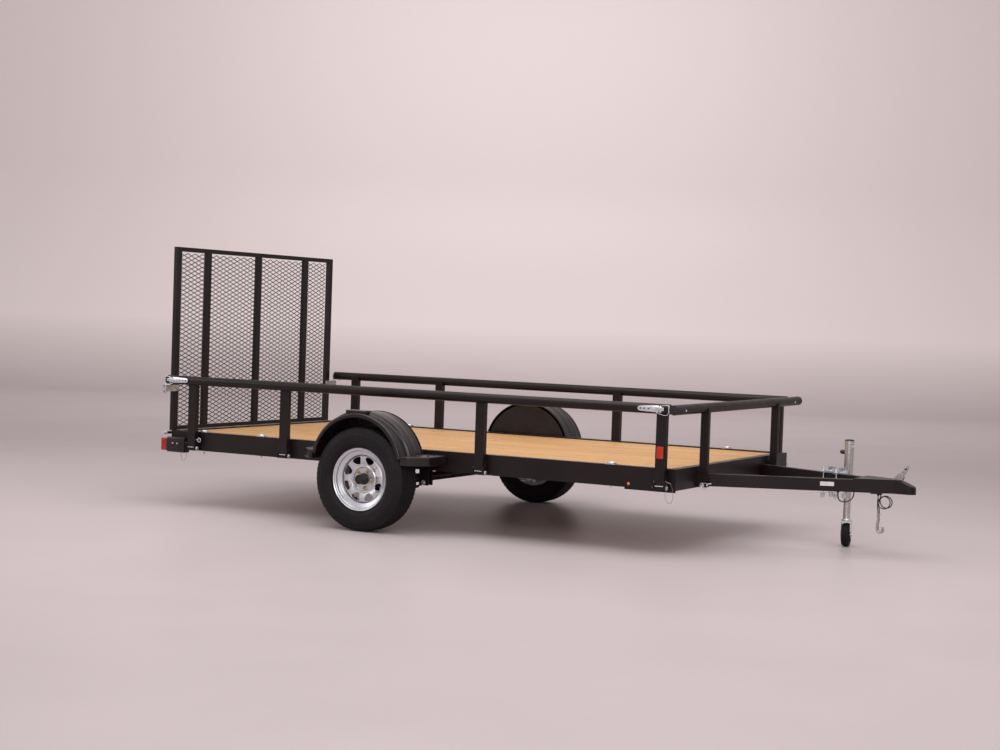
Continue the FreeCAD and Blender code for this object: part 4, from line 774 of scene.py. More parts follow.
def hub_piece():
    """The hub about the Y axis: flange behind the disc, barrel, and a cap whose sunk end lies at the CAD hub's end."""
    end = HUB_END
    body = [(0, -0.040), (0.030, -0.040), (0.035, -0.038), (0.037, -0.034), (0.037, -0.020), (0.060, -0.020),
            (0.068, -0.018), (0.070, -0.014), (0.070, -0.0052), (0.0345, -0.0052), (0.0345, 0.001),
            (0.041, 0.001), (0.0425, 0.003), (0.0425, 0.006), (0.037, 0.008), (0.0365, 0.036), (0.0345, 0.040),
            (0.0315, 0.042), (0.031, 0.046), (0.0295, 0.048), (0.0295, end - 0.010), (0.031, end - 0.008),
            (0.031, end - 0.002), (0.0295, end), (0.026, end - 0.0004), (0.0250, end - 0.003),
            (0.0240, end - 0.0065), (0.012, end - 0.0070), (0.011, end - 0.005), (0.006, end - 0.0045),
            (0, end - 0.0045)]
    return round_axis(np.array(body)[::-1], 48, closed=False)


def valve_piece(settings):
    """A valve stem with a cap, standing out of the disc near the well."""
    out = about_y(1.0, 0, settings.valve_turn)
    base = out * (disc_edge(settings) - 0.012) + (0, 0.010, 0)
    axis = out * -0.25 + (0, 1.0, 0)
    return turned([(0, 0), (0.0062, 0), (0.0068, 0.004), (0.0048, 0.008), (0.0040, 0.020), (0.0046, 0.021),
                   (0.0050, 0.034), (0.0042, 0.0365), (0, 0.037)], base, axis, 16)


class TrailerWheels(bpy.types.PropertyGroup):
    """Sizes of the rims, nuts, valves and tread"""
    flange_height: metres("Flange height", "From the bead seat to the rim's edge", 0.017)
    well_depth: metres("Well depth", "From the bead seat down to the rim's well", 0.028)
    rim_wall: metres("Rim wall", "Sheet thickness of the rim", 0.004)
    disc_wall: metres("Disc wall", "Sheet thickness of the disc", 0.005)
    disc_offset: metres("Disc offset", "Disc out from the wheel's middle plane", 0.024)
    pad_radius: metres("Pad radius", "Outer edge of the raised ring round the hub", 0.086)
    window_count: whole("Windows", "Windows in the disc", 8)
    window_share: share_of("Window width", "Share of a sector's angle taken by its window", 0.56)
    nut_count: whole("Nuts", "Wheel nuts", 5)
    nut_turn: angle_of("Nut turn", "First nut, from straight up towards the front", math.radians(27))
    nut_circle: metres("Nut circle", "Radius of the circle of nuts", 0.05715)
    nut_radius: metres("Nut radius", "Corner radius of a nut", 0.0105)
    valve_turn: angle_of("Valve turn", "Valve stem, from straight up towards the front", math.radians(205))
    tread_cuts: whole("Tread cuts", "Cuts across each shoulder of the tread", 64)
    groove_depth: metres("Groove depth", "Depth of the grooves round the tread", 0.007)


def make_wheels(settings):
    """Makes each piece of a wheel about the Y axis and stands it at both wheels, mirrored on the right."""
    tyre, rim = tyre_piece(settings), rim_piece(settings)
    nuts = moved(nuts_piece(settings), (0, settings.disc_offset, 0))
    hub, valve = hub_piece(), valve_piece(settings)
    for side, sign in SIDES.items():
        centre = WHEEL * (1, 0, 1) + (0, sign * abs(WHEEL[1]), 0)
        body = "wheel_" + side

        def put(piece):
            """The piece on its side of the trailer, moved to the wheel's centre."""
            return moved(on_side(piece, sign), centre)

        add("tyre_tread_" + side, put(tyre), "rubber", body, ["tyre_" + side])
        add("rim_face_" + side, put(rim), "rim", body, ["rim_" + side])
        add("wheel_nuts_" + side, put(nuts), "brass", body)
        add("hub_cap_" + side, put(hub), "cap", body, ["hub_" + side])
        add("valve_stem_" + side, put(valve), "cord", body)


class TRAILER_OT_wheels(bpy.types.Operator):
    """Makes the tyres with their tread, the rims with their windows, the hubs, nuts and valve stems"""
    bl_idname = "trailer.wheels"
    bl_label = "Wheels"

    def execute(self, context):
        make_wheels(context.scene.trailer_wheels)
        return {"FINISHED"}


# Fenders
def fender_arch(settings, centre, inner_y, width):
    """The arch of a fender on the +Y side: point = centre + (R + lift) (cos a, sin a), a section for every angle a.

    Across it the surface crosses the band with its soft crease, climbs the ridge, drops to the shelf, rises to
    the outer roll and turns down a quarter circle into the lip. The shelf widens towards the front.
    """
    radius = settings.arch_radius
    start = math.asin((settings.foot_height - 0.014 - centre[2]) / radius)
    angle = np.linspace(math.pi - start, start, settings.arch_steps)
    share = np.linspace(0, 1, settings.arch_steps)
    shelf = settings.shelf_rear + (settings.shelf_front - settings.shelf_rear) * step(share, 0.40, 0.95)
    ridge = (width - shelf)[:, None]
    one = np.ones_like(ridge)
    roll = settings.roll_radius
    turn = np.linspace(0, math.pi / 2, 7)
    y = np.concatenate([one * np.array([0, 0.003, 0.009, 0.018]), 0.026 + (ridge - 0.050) * np.linspace(0, 1, 10),
                        ridge + np.array([-0.017, -0.012, -0.008, -0.004, 0, 0.004, 0.008, 0.013, 0.019]),
                        ridge + 0.027 + (width - roll - 0.010 - ridge - 0.027) * np.linspace(0, 1, 5),
                        one * (width - roll + roll * np.sin(turn)), one * np.array([width, width])], 1)
    lift = settings.crease_depth * (step(y / ridge, 0.34, 0.66) - 1) - 0.005 * (1 - step(y, 0, 0.022))
    lift += 0.0032 * np.exp(-((y - ridge + 0.009) / 0.0100) ** 2)
    lift -= settings.band_rise * step(y, ridge - 0.004, ridge + 0.011)
    lift += settings.roll_rise * step(y, width - roll - 0.016, width - roll)
    down = np.concatenate([np.zeros(y.shape[1] - 9), roll * (1 - np.cos(turn)),
                           [roll + settings.lip_depth * 0.5, roll + settings.lip_depth]])
    lift = lift - down
    wall = settings.wall
    under = np.minimum(lift - wall, lift[:, -3:-2])
    under[:, -2:] = lift[:, -2:]

    def surface(raised, across):
        """Points at arch radius plus lift, for each angle, at their distance across."""
        far = radius + raised
        return np.stack([centre[0] + far * np.cos(angle)[:, None], inner_y + across,
                         centre[2] + far * np.sin(angle)[:, None]], -1)

    return shell(surface(lift, y), surface(under, np.minimum(y, width - wall)))


def fender_piece(settings, side):
    """A moulded fender on the +Y side: the arch, its inner wall, the raised pad and the two skirted feet."""
    near, far = low("fender_" + side), high("fender_" + side)
    frame_y, outer_y = sorted((abs(near[1]), abs(far[1])))
    inner_y = frame_y + settings.frame_gap
    radius = settings.arch_radius
    centre = np.array([WHEEL[0] - settings.behind_wheel, 0, far[2] - settings.pad_rise - radius])
    pieces = [fender_arch(settings, centre, inner_y, outer_y - inner_y)]
    angle = np.linspace(-1.45, 1.45, 48)
    disc = np.stack([np.cos(angle), np.sin(angle)], -1) * (radius - 0.004)
    pieces.append(plate(disc, centre + (0, inner_y, 0), LEFT, settings.wall, 0.001, UP))
    length, depth = settings.pad_length, settings.pad_width
    outline = rounded([(0, 0), (length, 0), (length, depth), (0, depth)], 0.012)
    pieces.append(plate(outline, (centre[0] - length * 0.62, outer_y - depth - 0.014, far[2] - 0.024), UP,
                        0.024, 0.005, AHEAD, 3))
    reach, skirt = radius - 0.023, settings.foot_drop
    for tip, sign in ((far[0] - centre[0], 1), (centre[0] - near[0], -1)):
        outline = np.array([(reach, frame_y), (tip, frame_y), (tip, frame_y + settings.foot_reach),
                            (tip - settings.foot_chamfer, outer_y), (reach, outer_y)])
        if sign < 0:
            outline = outline[::-1] * (-1, 1)
        pieces.append(plate(rounded(outline, 0.014), (centre[0], 0, settings.foot_height - skirt), UP,
                            skirt, 0.007, AHEAD, 4))
        for share in (0.25, 0.75):
            spot = (centre[0] + sign * (tip - 0.045), frame_y + settings.foot_reach * share,
                    settings.foot_height - 0.0005)
            pieces.append(bolt(spot, UP, 0.008, 0.006))
    return together(*pieces)


class TrailerFenders(bpy.types.PropertyGroup):
    """Sizes of the fenders' mouldings"""
    arch_radius: metres("Arch radius", "Outer radius of the raised band", 0.356)
    arch_steps: whole("Arch steps", "Sections along the arch", 72)
    behind_wheel: metres("Behind wheel", "Arch centre behind the wheel's axis", 0.020)
    frame_gap: metres("Frame gap", "Inner wall out from the frame's side", 0.045)
    foot_height: metres("Foot height", "Top of the feet above the floor", 0.499)
    foot_drop: metres("Foot drop", "Depth of the skirt at the feet", 0.058)
    foot_reach: metres("Foot reach", "Straight end of a foot, out from the frame", 0.215)
    foot_chamfer: metres("Foot chamfer", "Length of a foot's slanted corner", 0.102)
    lip_depth: metres("Lip depth", "Depth of the lip below the outer roll", 0.014)
    roll_radius: metres("Roll radius", "Radius of the outer roll", 0.013)
    roll_rise: metres("Roll rise", "Height of the outer roll over the shelf", 0.005)
    shelf_rear: metres("Rear shelf", "Width of the low shelf at the rear", 0.062)
    shelf_front: metres("Front shelf", "Width of the low shelf at the front foot", 0.104)
    band_rise: metres("Band rise", "Height of the raised band over the shelf", 0.017)
    crease_depth: metres("Crease depth", "Drop of the band's inner part at its crease", 0.006)
    pad_length: metres("Pad length", "Length of the raised pad at the top", 0.150)
    pad_width: metres("Pad width", "Width of the raised pad at the top", 0.086)
    pad_rise: metres("Pad rise", "Top of the pad above the raised band", 0.004)
    wall: metres("Wall", "Thickness of the moulding", 0.005)


def make_fenders(settings):
    """Both fenders, each between the inner and outer face of its own node."""
    for side, sign in SIDES.items():
        add("fender_moulding_" + side, on_side(fender_piece(settings, side), sign), "plastic", "trailer",
            ["fender_" + side])


class TRAILER_OT_fenders(bpy.types.Operator):
    """Makes the moulded fenders with their lip, shelf, raised band and feet"""
    bl_idname = "trailer.fenders"
    bl_label = "Fenders"

    def execute(self, context):
        make_fenders(context.scene.trailer_fenders)
        return {"FINISHED"}


# Deck
def make_deck(settings):
    """Planks at a pitch of one plank and one gap, with two screws a plank over the frame's ends and cross members."""
    near, far = low("deck_planks"), high("deck_planks")
    pitch = (far[1] - near[1] + settings.plank_gap) / settings.plank_count
    planks, numbers, screws = [], [], []
    cross_x = np.linspace(near[0] + 0.03, far[0] - 0.03, settings.cross_count + 2)
    for k in range(settings.plank_count):
        start = near[1] + k * pitch
        piece = bar((near[0], start, near[2]), (far[0], start + pitch - settings.plank_gap, far[2]), 0.0025)
        planks.append(piece)
        numbers.append(np.full(len(piece[0]), k + 1.0))
        for x in cross_x:
            for share in (0.22, 0.78):
                spot = (x, start + (pitch - settings.plank_gap) * share, far[2] - 0.0012)
                screws.append(turned([(0, 0), (0.0048, 0), (0.0050, 0.0008), (0.0044, 0.0013), (0.0018, 0.0014),
                                      (0.0012, 0.0006), (0, 0.0006)], spot, UP, 12))
    add("deck_boards", together(*planks), "pine", "trailer", ["deck_planks"],
        values={"plank": np.concatenate(numbers)})
    add("deck_screws", together(*screws), "black", "trailer")


class TrailerDeck(bpy.types.PropertyGroup):
    """The deck's planks"""
    plank_count: whole("Planks", "Planks side by side", 10)
    plank_gap: metres("Gap", "Gap between two planks", 0.003)
    cross_count: whole("Cross members", "Cross members that the planks are screwed to", 6)


class TRAILER_OT_deck(bpy.types.Operator):
    """Makes the deck's planks with rounded edges and their screws"""
    bl_idname = "trailer.deck"
    bl_label = "Deck"

    def execute(self, context):
        make_deck(context.scene.trailer_deck)
        return {"FINISHED"}


# Ramp gate
# Lean of a strand's section in radians, and the coil of a spring latch
STRAND_LEAN = 0.15
COIL_RADIUS, COIL_TURNS, COIL_RISE = 0.0078, 7, 0.036


def mesh_piece(settings):
    """Expanded metal as zigzag strands: z = k h/2 + (-1)^(j + k) h/4 at y = j w/2.

    Each strand is a flat bar of four corners carried along its zigzag; its upper knots stand behind and its
    lower knots in front, so that two strands lie side by side where they meet.
    """
    near, far = low("gate_mesh"), high("gate_mesh")
    middle_x = (near[0] + far[0]) / 2
    wide, tall = settings.diamond_width, settings.diamond_height
    columns = int((far[1] - near[1]) / (wide / 2)) + 1
    rows = int((far[2] - near[2] - settings.strand_width) / (tall / 2))
    knot = settings.knot_share
    share = np.array([0.0, knot, 1.0 - knot])
    j = np.arange(columns)[:, None] + share[None, :]
    y = (near[1] + (j * wide / 2)).ravel()
    upper = np.where(share < 1 - knot - 1e-6, 1.0, -1.0)
    level = (upper * (-1) ** np.arange(columns)[:, None]).ravel()
    keep = y <= far[1]
    y, level = y[keep], level[keep]
    half_wide, half_thick = settings.strand_width / 2, settings.strand_thickness / 2
    depth = min(settings.strand_thickness * 0.45, (far[0] - near[0]) / 2 - half_thick)
    cosine, sine = math.cos(STRAND_LEAN), math.sin(STRAND_LEAN)
    corner = np.array([(-half_thick, -half_wide), (half_thick, -half_wide), (half_thick, half_wide),
                       (-half_thick, half_wide)]) @ np.array([[cosine, sine], [-sine, cosine]])
    pieces = []
    for k in range(rows):
        sign = (-1) ** k
        z = near[2] + settings.strand_width + tall / 4 + k * tall / 2 + sign * level * (tall / 4 - half_wide * 0.2)
        x = middle_x - sign * level * depth
        path = np.stack([x, y, z], -1)
        if path[:, 2].max() > far[2]:
            break
        points = np.repeat(path[:, None], 4, 1)
        points[..., [0, 2]] += corner
        pieces.append(together(grid(points, wrap_columns=True), fan(points[0], False), fan(points[-1], True)))
    return together(*pieces)


class TrailerGate(bpy.types.PropertyGroup):
    """The gate's mesh and hinge"""
    diamond_width: metres("Diamond width", "Width of a mesh opening from knot to knot", 0.080)
    diamond_height: metres("Diamond height", "Height of a mesh opening from knot to knot", 0.0305)
    strand_width: metres("Strand width", "Width of a strand of the mesh", 0.0048)
    strand_thickness: metres("Strand thickness", "Thickness of a strand of the mesh", 0.0030)
    knot_share: share_of("Knot share", "Share of half a diamond taken by a knot", 0.08)
    hinge_behind: metres("Hinge behind", "The gate's hinge along X", JOINTS["gate_fold"]["pos_m"][0])
    hinge_height: metres("Hinge height", "The gate's hinge above the floor", JOINTS["gate_fold"]["pos_m"][2])


def make_gate(settings):
    """The mesh, a spring latch at each side of the gate and a headed end on each side of the hinge's rod.

    A latch is a pin, a coil (x + r cos t, y + r sin t, z rising with t), a plate and a bolt.
    """
    add("gate_expanded_mesh", mesh_piece(settings), "black", "gate", ["gate_mesh"], flat=True)
    pieces, reach = [], float(high("gate_catches")[1])
    for sign in (1, -1):
        y = sign * (reach - 0.020)
        x, z = middle("gate_catches")[0], float(high("gate_catches")[2])
        pieces.append(turned([(0, -0.060), (0.0040, -0.060), (0.0044, -0.058), (0.0044, 0.040), (0.0070, 0.041),
                              (0.0072, 0.046), (0.0055, 0.049), (0, 0.050)], (x, y, z), UP, 16))
        share = np.linspace(0, 1, 140)
        coil = np.stack([x + COIL_RADIUS * np.cos(share * FULL_TURN * COIL_TURNS),
                         y + COIL_RADIUS * np.sin(share * FULL_TURN * COIL_TURNS), z + 0.003 + COIL_RISE * share], -1)
        pieces.append(tube(coil, 0.0012, 6))
        pieces.append(slab((x - 0.0115, y - 0.014, z - 0.055), (x - 0.0135, y + 0.014, z - 0.012), 0, 0.005, 0.0006))
        pieces.append(bolt((x - 0.0132, sign * (reach - 0.070), z - 0.022), (-1, 0, 0), 0.0078, 0.0055))
    add("gate_spring_latches", together(*pieces), "bright", "gate")
    rods, end = [], float(high("gate_hinge")[1])
    for sign in (1, -1):
        rods.append(turned([(0, -0.004), (0.0080, -0.004), (0.0080, 0.004), (0.0105, 0.005), (0.0108, 0.012),
                            (0.0086, 0.0135), (0.0086, 0.033), (0.0070, 0.036), (0, 0.0365)],
                           (settings.hinge_behind, sign * end, settings.hinge_height), (0, sign, 0), 20))
    add("gate_hinge_ends", together(*rods), "bright", "trailer")


class TRAILER_OT_gate(bpy.types.Operator):
    """Makes the ramp gate's expanded mesh, its spring latches and the ends of its hinge"""
    bl_idname = "trailer.gate"
    bl_label = "Ramp gate"

    def execute(self, context):
        make_gate(context.scene.trailer_gate)
        return {"FINISHED"}


# Safety cables and wiring
# Each route is given as steps from its start; the cable's is the right one's
CABLE_START = (2.2835, -0.026, 0.376)
CABLE_ROUTE = (
    (0, 0, 0), (0, 0, -0.017), (-0.003, -0.002, -0.036), (0.001, -0.002, -0.055), (0.013, -0.002, -0.071),
    (0.031, -0.001, -0.079), (0.051, 0, -0.077), (0.067, 0.002, -0.065), (0.075, 0.004, -0.047),
    (0.073, 0.006, -0.027), (0.061, 0.008, -0.011), (0.043, 0.01, -0.003), (0.023, 0.011, -0.005),
    (0.007, 0.012, -0.017), (-0.003, 0.012, -0.034), (-0.006, 0.012, -0.054), (-0.005, 0.012, -0.074),
    (-0.001, 0.011, -0.093), (-0.001, 0.011, -0.111))
WIRE_START = (2.0750, 0.15619, 0.388)
WIRE_ROUTE = (
    (0, 0, 0), (0, 0, -0.018), (0.001, -0.008, -0.036), (0.002, -0.027, -0.051), (0.005, -0.06, -0.06),
    (0.008, -0.11, -0.065), (0.006, -0.16, -0.067), (0.003, -0.21, -0.065), (0, -0.253, -0.059),
    (-0.002, -0.286, -0.05), (-0.003, -0.304, -0.036), (-0.004, -0.312, -0.018), (-0.004, -0.312, 0))


def cord_curve(name, route, diameter, node):
    """A cord of round section: a spline of third order whose control points are the route's points."""
    curve = bpy.data.curves.new(name, "CURVE")
    curve.dimensions = "3D"
    spline = curve.splines.new("NURBS")
    spline.points.add(len(route) - 1)
    spline.points.foreach_set("co", np.hstack([route, np.ones((len(route), 1))]).ravel())
    spline.order_u = 3
    spline.use_endpoint_u = True
    spline.resolution_u = 6
    curve.bevel_depth = diameter / 2
    curve.bevel_resolution = 4
    curve.use_fill_caps = True
    curve.materials.append(FINISHES["cord"])
    thing = bpy.data.objects.new(name, curve)
    bpy.context.scene.collection.objects.link(thing)
    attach(thing, "trailer")
    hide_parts(node)
    return thing


def hook_piece(top):
    """A steel hook under a ferrule: a tube on a smooth path down and round, with a wire gate across its mouth.

    The tube's radius is a least radius plus a swell by the sine of the share of the path, raised to 0.7.
    """
    path = smooth_path([(0, 0, -0.018), (0.001, 0, -0.040), (-0.003, 0, -0.065), (-0.004, 0, -0.090),
                        (0, 0, -0.108), (0.012, 0, -0.1175), (0.025, 0, -0.1135), (0.030, 0, -0.099),
                        (0.027, 0, -0.084)], 8)
    share = np.linspace(0, 1, len(path))
    shank = tube(path + top, 0.0040 + 0.0018 * np.sin(math.pi * share) ** 0.7, 14)
    ferrule = turned([(0, -0.021), (0.0046, -0.021), (0.0060, -0.0185), (0.0061, -0.015), (0.0054, -0.013),
                      (0.0060, -0.011), (0.0061, -0.006), (0.0054, -0.004), (0.0058, -0.002), (0.0040, 0.0008),
                      (0, 0.0008)], top, UP, 20)
    gate = tube(np.array([(0.0275, 0, -0.088), (0.014, 0, -0.079), (-0.001, 0, -0.070)]) + top, 0.0014, 8)
    return together(shank, ferrule, gate)


def make_cables(settings):
    """The two cables, mirrored, each with its hook at the end of its route, and the wiring between the beams."""
    for side, sign in SIDES.items():
        route = (np.array(CABLE_START) + CABLE_ROUTE) * (1, -sign, 1)
        cord = cord_curve("safety_cable_run_" + side, route, settings.cable_diameter, "safety_cable_" + side)
        hook = add("safety_snap_hook_" + side, hook_piece(route[-1]), "fitting", "trailer",
                   ["safety_hook_" + side])
    route = np.array(WIRE_START) + WIRE_ROUTE
    cord = cord_curve("wiring_run", route, settings.wire_diameter, "wiring_loop")


class TrailerCables(bpy.types.PropertyGroup):
    """Sizes of the safety cables and the wiring"""
    cable_diameter: metres("Cable diameter", "Diameter of a safety cable", 0.0064)
    cable_length: metres("Cable length", "Length of a safety cable", 0.3483)
    wire_diameter: metres("Wiring diameter", "Diameter of the wiring", 0.0076)
    wire_length: metres("Wiring length", "Length of the wiring between the beams", 0.3832)


class TRAILER_OT_cables(bpy.types.Operator):
    """Makes the two safety cables with their hooks and the wiring under the tongue"""
    bl_idname = "trailer.cables"
    bl_label = "Cables"

    def execute(self, context):
        make_cables(context.scene.trailer_cables)
        return {"FINISHED"}


# Rails
# Holes beside a latch from the rail's end, and the front rail's screws along Y
LATCH_HOLES = (0.176, 0.154, 0.124)
FRONT_RAIL_SCREWS = (-0.97, 0.94)


def latch_piece(settings, end):
    """Strap, toggle, barrel, bail and keeper of a latch on the +Y rail whose end stands at x = end, facing +X.

    The strap is part of a round sheet on the rail: y = middle + r cos a, z = middle + r sin a, with half the
    angle growing from its rounded tip to the toggle.
    """
    side, height, radius = settings.rail_side, settings.rail_height, settings.rail_radius
    share = np.linspace(0, 1, 28)[:, None]
    half = (0.42 + 0.20 * share) * np.sqrt(np.clip(1 - (1 - np.minimum(share / 0.12, 1)) ** 2, 0.01, 1))
    angle = half * np.linspace(-1, 1, 9)[None, :]
    x = end - settings.strap_start + share * (settings.strap_start - settings.strap_end) + 0 * angle

    def sheet(r):
        """The strap's points at a radius about the rail's axis."""
        return np.stack([x, side + r * np.cos(angle), height + r * np.sin(angle)], -1)

    strap = flipped(shell(sheet(radius + 0.0042), sheet(radius + 0.0002)))
    spot = np.array((end, side + radius, height))
    toggle = slab(spot + (-0.078, 0.002, -0.015), spot + (-0.036, 0.011, 0.014), 1, 0.006, 0.002)
    lever = slab(spot + (-0.066, 0.010, -0.010), spot + (-0.022, 0.015, 0.009), 1, 0.005, 0.0015)
    barrel = turned([(0, 0), (0.0050, 0), (0.0056, 0.001), (0.0056, 0.040), (0.0050, 0.041), (0, 0.041)],
                    spot + (-0.046, 0.006, -0.0205), UP, 18)
    bail = spot + [(-0.072, 0.006, -0.016), (-0.040, 0.007, -0.031), (-0.006, 0.005, -0.034), (0.004, 0.001, -0.018),
                   (0.005, 0, 0), (0.004, 0.001, 0.018), (-0.006, 0.004, 0.024), (-0.042, 0.008, 0.018)]
    keeper = slab(spot + (0.0015, -0.004, -0.022), spot + (0.0085, 0.003, 0.024), 2, 0.0025, 0.001)
    screw = bolt(spot + (-0.100, 0.003, 0), LEFT, 0.0062, 0.004)
    return together(strap, toggle, lever, barrel, tube(smooth_path(bail, 6, True), 0.0017, 8, True), keeper, screw)


def rail_plug(end, axis, radius):
    """A push-in end plug: a flange that bulges to a shallow dome."""
    return turned([(0, -0.004), (radius * 0.92, -0.004), (radius * 0.985, -0.001), (radius * 0.985, 0.0012),
                   (radius * 0.93, 0.0032), (radius * 0.6, 0.0044), (0, 0.0050)], end, axis, 40)


def lock_pin(pin, ahead):
    """A lock pin's wire loop and its cross bar beside a post's pin on the +Y side.

    Both are tubes on paths given from the pin; ahead is 1 where they point to the front and -1 to the rear.
    """
    loop = np.array([(-0.006, 0.000), (-0.010, -0.042), (0.003, -0.077), (0.018, -0.087), (0.033, -0.077),
                     (0.041, -0.042), (0.033, 0.008), (0.013, 0.035), (-0.002, 0.024)])
    path = smooth_path(np.stack([pin[0] + ahead * loop[:, 0], np.full(len(loop), pin[1] + 0.014),
                                 pin[2] + loop[:, 1]], -1), 6, True)
    bar_path = np.array([(-0.010, 0.014, 0.040), (0.010, 0.015, 0.034), (0.026, 0.014, 0.029)]) * (ahead, 1, 1)
    return together(tube(path, 0.0011, 8, True), tube(bar_path + pin, 0.0030, 10))


def make_side_rail(settings, side, sign):
    """A side rail's latches, plugs and reflector, its posts' bolts and pins, and the lock pins at the outer posts.

    Each is placed from a rail's end or a post's pin on the +Y side and mirrored for the right rail.
    """
    posts, height, ear = settings.posts, settings.pin_height, settings.ear_reach
    turn = angles_round(28)
    near, far = low("side_rail_" + side), high("side_rail_" + side)
    rear = latch_piece(settings, -near[0])
    latches = together(latch_piece(settings, far[0]), flipped((rear[0] * (-1, 1, 1), rear[1])))
    y = settings.rail_side
    plugs = together(rail_plug((far[0], y, settings.rail_height), AHEAD, settings.rail_radius),
                     rail_plug((near[0], y, settings.rail_height), (-1, 0, 0), settings.rail_radius))
    fixings = [bolt((x + ear * way, settings.pin_side, height), (way, 0, 0), 0.0118, 0.0082)
               for x in posts for way in (1, -1)]
    ring = np.stack([0.0135 * np.cos(turn), 0 * turn, 0.0135 * np.sin(turn)], -1)
    spot = np.array((posts[0] + ear + 0.012, settings.pin_side + 0.004, height + 0.060))
    fixings.append(tube(ring + spot + (0.006, 0, 0), 0.0026, 8, True))
    fixings.append(turned([(0, -0.013), (0.0042, -0.013), (0.0046, 0.004), (0.0060, 0.005), (0.0060, 0.008),
                           (0, 0.009)], spot - (0.006, 0, 0), AHEAD, 14))
    wires = together(lock_pin(np.array((posts[3] + ear + 0.008, settings.pin_side, height)), 1),
                     lock_pin(np.array((posts[0] - ear - 0.008, settings.pin_side, height)), -1))
    corners = np.array([low("rail_reflector_" + side), high("rail_reflector_" + side)]) * (1, sign, 1)
    patch = slab(*corners, 1, 0.007, 0.0016)
    pins = [tube(np.array([(x + along_x, y + 0.0026, height + 0.010) for along_x in (-0.026, 0, 0.026)]),
                 0.0022, 10) for x in posts]
    holes = [turned([(0, 0), (0.0046, 0), (0.0046, 0.0046), (0.0040, 0.0050), (0, 0.0048)],
                    (place, y + settings.rail_radius - 0.0002, settings.rail_height), LEFT, 16)
             for end, way in ((far[0], -1), (near[0], 1))
             for place in end + way * np.array(LATCH_HOLES)]
    for name, piece, finish, body, slot, nodes in (
            ("post_pin_bars_", together(*pins), "bright", "rail_" + side, "zinc", []),
            ("latch_holes_", together(*holes), "black", "rail_" + side, "black_steel", []),
            ("rail_latch_set_", latches, "bright", "rail_" + side, "galvanised", ["rail_latches_" + side]),
            ("rail_plugs_", plugs, "cap", "rail_" + side, "black_steel", []),
            ("post_bolts_", together(*fixings), "bright", "trailer", "zinc", []),
            ("lock_pins_", wires, "wire", "trailer", "zinc", []),
            ("post_reflector_", patch, "orange", "rail_" + side, "amber_lens", ["rail_reflector_" + side])):
        add(name + side, on_side(piece, sign), finish, body, nodes)


def make_front_rail(settings):
    """The front rail's plugs and screws, and the bolts, wire rings and bars at its two posts' pins."""
    height, turn = settings.pin_height, angles_round(28)
    near, far = low("front_rail"), high("front_rail")
    x = near[0] + settings.rail_radius
    plugs = together(*(rail_plug((x, far[1] * sign, settings.rail_height), (0, sign, 0), settings.rail_radius)
                       for sign in (1, -1)))
    add("front_rail_plugs", plugs, "cap", "front_rail")
    screws = together(*(turned([(0, 0), (0.0062, 0), (0.0060, 0.0022), (0.0040, 0.0036), (0, 0.0040)],
                               (x + settings.rail_radius - 0.0006, y, settings.rail_height - 0.005), (1, 0, -0.12), 16)
                        for y in FRONT_RAIL_SCREWS))
    add("front_rail_screws", screws, "bright", "front_rail")
    fixings = [bolt((settings.front_pin_ahead, sign * (settings.front_post_side + way * 0.025), height),
                    (0, sign * way, 0), 0.0112, 0.0072) for sign in (1, -1) for way in (1, -1)]
    for sign in (1, -1):
        start = np.array((settings.front_pin_ahead, sign * (settings.front_post_side + 0.0345), height))
        ring = np.stack([0.020 + 0.0195 * np.cos(turn), 0.0012 * np.sin(turn), -0.004 + 0.0195 * np.sin(turn)], -1)
        fixings.append(tube(ring + start, 0.0014, 8, True))
        fixings.append(tube(np.array([(0.034, 0, 0.010), (0.050, 0, 0.012), (0.066, 0, 0.013)]) + start, 0.0030, 10))
    add("front_post_bolts", together(*fixings), "bright", "trailer")


class TrailerRails(bpy.types.PropertyGroup):
    """Places of the rails, their posts and their latches"""
    rail_side: metres("Rail side", "A side rail's axis out from the middle", 1.015)
    rail_height: metres("Rail height", "The rails' axes above the floor", 0.879)
    rail_radius: metres("Rail radius", "Outer radius of the rails", 0.03015)
    strap_start: metres("Strap start", "A latch strap's tip from the rail's end", 0.196)
    strap_end: metres("Strap end", "A latch strap's inner end from the rail's end", 0.060)
    posts: bpy.props.FloatVectorProperty(
        name="Posts", description="Places of a side rail's posts along X", size=4,
        default=(-2.2545, -1.4765, 0.0295, 1.2585), unit="LENGTH")
    pin_side: metres("Pin side", "The posts' pins out from the middle", JOINTS["rail_left_fold"]["pos_m"][1])
    pin_height: metres("Pin height", "The posts' pins above the floor", JOINTS["rail_left_fold"]["pos_m"][2])
    ear_reach: metres("Ear reach", "Outer face of a post's ear from the post's middle", 0.040)
    front_pin_ahead: metres("Front pin ahead", "The front posts' pins along X", JOINTS["front_rail_fold"]["pos_m"][0])
    front_post_side: metres("Front post side", "A front post out from the middle", 0.614)


class TRAILER_OT_rails(bpy.types.Operator):
    """Makes the rails' plugs, latches, bolts, lock pins and reflectors"""
    bl_idname = "trailer.rails"
    bl_label = "Rails"

    def execute(self, context):
        settings = context.scene.trailer_rails
        for side, sign in SIDES.items():
            make_side_rail(settings, side, sign)
        make_front_rail(settings)
        return {"FINISHED"}


# Lamps
# A lamp box's screws ahead of its rear end
LAMP_SCREWS = (0.052, 0.092)


